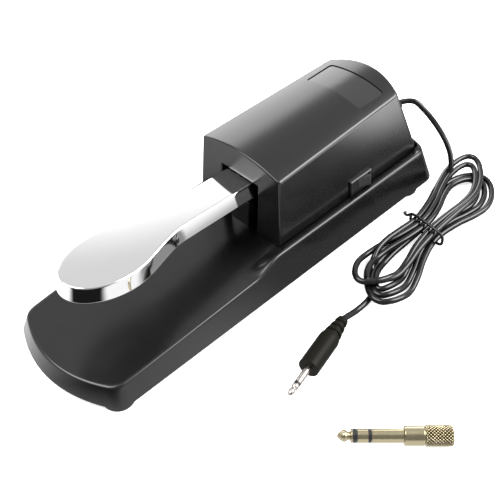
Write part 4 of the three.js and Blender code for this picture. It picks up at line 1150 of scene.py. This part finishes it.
def floor():
    """A white table lit from below. Glossy rays see a painted reflection on it instead: dark in front and
    bright at the back right.
    """
    bpy.ops.mesh.primitive_plane_add(size=12, location=(0, 0, FLOOR * MM))
    plane = bpy.context.object
    plane.name = "floor"
    material, tree, shader = nodes_of("floor")
    white = tinted(tree, noise(tree, 3, 2), (0.9, 0.9, 0.9), (0.92, 0.92, 0.92))
    wire(tree, shader, Base_Color=white, Roughness=0.9, Specular_IOR_Level=0.1,
         Emission_Color=(1, 1, 1, 1), Emission_Strength=FLOOR_GLOW)
    axes = added(tree, "SeparateXYZ", Vector=added(tree, "TexCoord").outputs["Object"])

    def across(axis, low, high, start, end):
        return step_up(tree, axes.outputs[axis], low, high, start, end)

    def both(a, b):
        return calculate(tree, "MULTIPLY", a, b)

    # Painted reflection for glossy rays: dark in front of the pedal as if a dark sheet stood there, brighter
    # at the left front, and a painted shade at the right.
    ahead = calculate(tree, "MAXIMUM", across("Y", -0.155, -0.12, 0.01, 1), across("X", -0.02, 0.03, 1, 0))
    left = calculate(tree, "ADD", both(across("X", -0.07, 0, 1.2, 0), across("Y", -0.13, -0.1, 1, 0)), 1.1)
    shade = both(across("X", 0.10, 0.125, 1, 0), across("Y", -0.06, 0.01, 0, 0.8))
    near = both(ahead, calculate(tree, "SUBTRACT", left, shade))
    # painted pool of light at the back right, seen only in reflections
    painted_pool = both(across("X", 0.07, 0.10, 0, 1), across("Y", 0.11, 0.17, 0, POOL_RADIANCE))
    # the painted reflection, shown to glossy rays in place of the table
    painted_reflection = added(tree, "Emission", Strength=calculate(tree, "ADD", near, painted_pool))
    choice = added(tree, "MixShader", Fac=added(tree, "LightPath").outputs["Is Glossy Ray"])
    feed(tree, choice.inputs[1], shader.outputs[0])
    feed(tree, choice.inputs[2], painted_reflection.outputs[0])
    wire(tree, tree.nodes["Material Output"], Surface=choice.outputs[0])
    material.cycles.emission_sampling = "NONE"
    plane.data.materials.append(material)


def studio():
    """Even white light with brighter and darker regions, some seen only as reflections."""
    world = bpy.data.worlds.new("studio")
    world.use_nodes = True
    bpy.context.scene.world = world
    tree = world.node_tree
    where = added(tree, "TexCoord").outputs["Generated"]
    light = SKY
    for direction, outer, inner, radiance in SOFTBOXES:
        facing = tree.nodes.new("ShaderNodeVectorMath")
        facing.operation = "DOT_PRODUCT"
        feed(tree, facing.inputs[0], where)
        feed(tree, facing.inputs[1], Vector(direction).normalized())
        brighter = step_up(tree, facing.outputs["Value"], outer, inner, 0, radiance)
        light = calculate(tree, "ADD", brighter, light)
    shown = calculate(tree, "MAXIMUM", light, added(tree, "LightPath").outputs["Is Camera Ray"])
    wire(tree, tree.nodes["Background"], Strength=shown, Color=(1, 1, 1, 1))
    bpy.context.scene.view_settings.view_transform = "Standard"


CAMERA_AZIMUTH = math.radians(44.81)
CAMERA_ELEVATION = math.radians(41.57)
CAMERA_DISTANCE = 544
CAMERA_AIM = Vector((0, 0, 33.567))


def camera():
    """The viewpoint: above and to the front right, looking down at the pedal."""
    data = bpy.data.cameras.new("camera")
    data.lens, data.sensor_width = 75.66, 36
    data.shift_x, data.shift_y = 0.0208, -0.0995
    data.clip_start, data.clip_end = 0.01, 20
    lens = linked(data)
    sideways, forwards = math.cos(CAMERA_AZIMUTH), math.sin(CAMERA_AZIMUTH)
    flat = math.cos(CAMERA_ELEVATION)
    back = Vector((forwards * flat, -sideways * flat, math.sin(CAMERA_ELEVATION)))
    right = Vector((sideways, forwards, 0))
    up = back.cross(right)
    axes = Matrix((right, up, back)).transposed().to_4x4()
    lens.matrix_world = Matrix.Translation((CAMERA_AIM + back * CAMERA_DISTANCE) * MM) @ axes
    bpy.context.scene.camera = lens


base_shell()
base_plate()
feet()
housing()
lever()
pivot_bracket()
pivot_axle()
other_screws()
return_spring()
spring_ends()
pads_and_board()
polarity_switch()
polarity_rocker()
grommet()
finished("cable", swept(lead_path(), CABLE_RADIUS, 16))
cable_tie()
plug_grip()
plug_pin()
adapter_pin()
adapter_barrel()
floor()
studio()
camera()
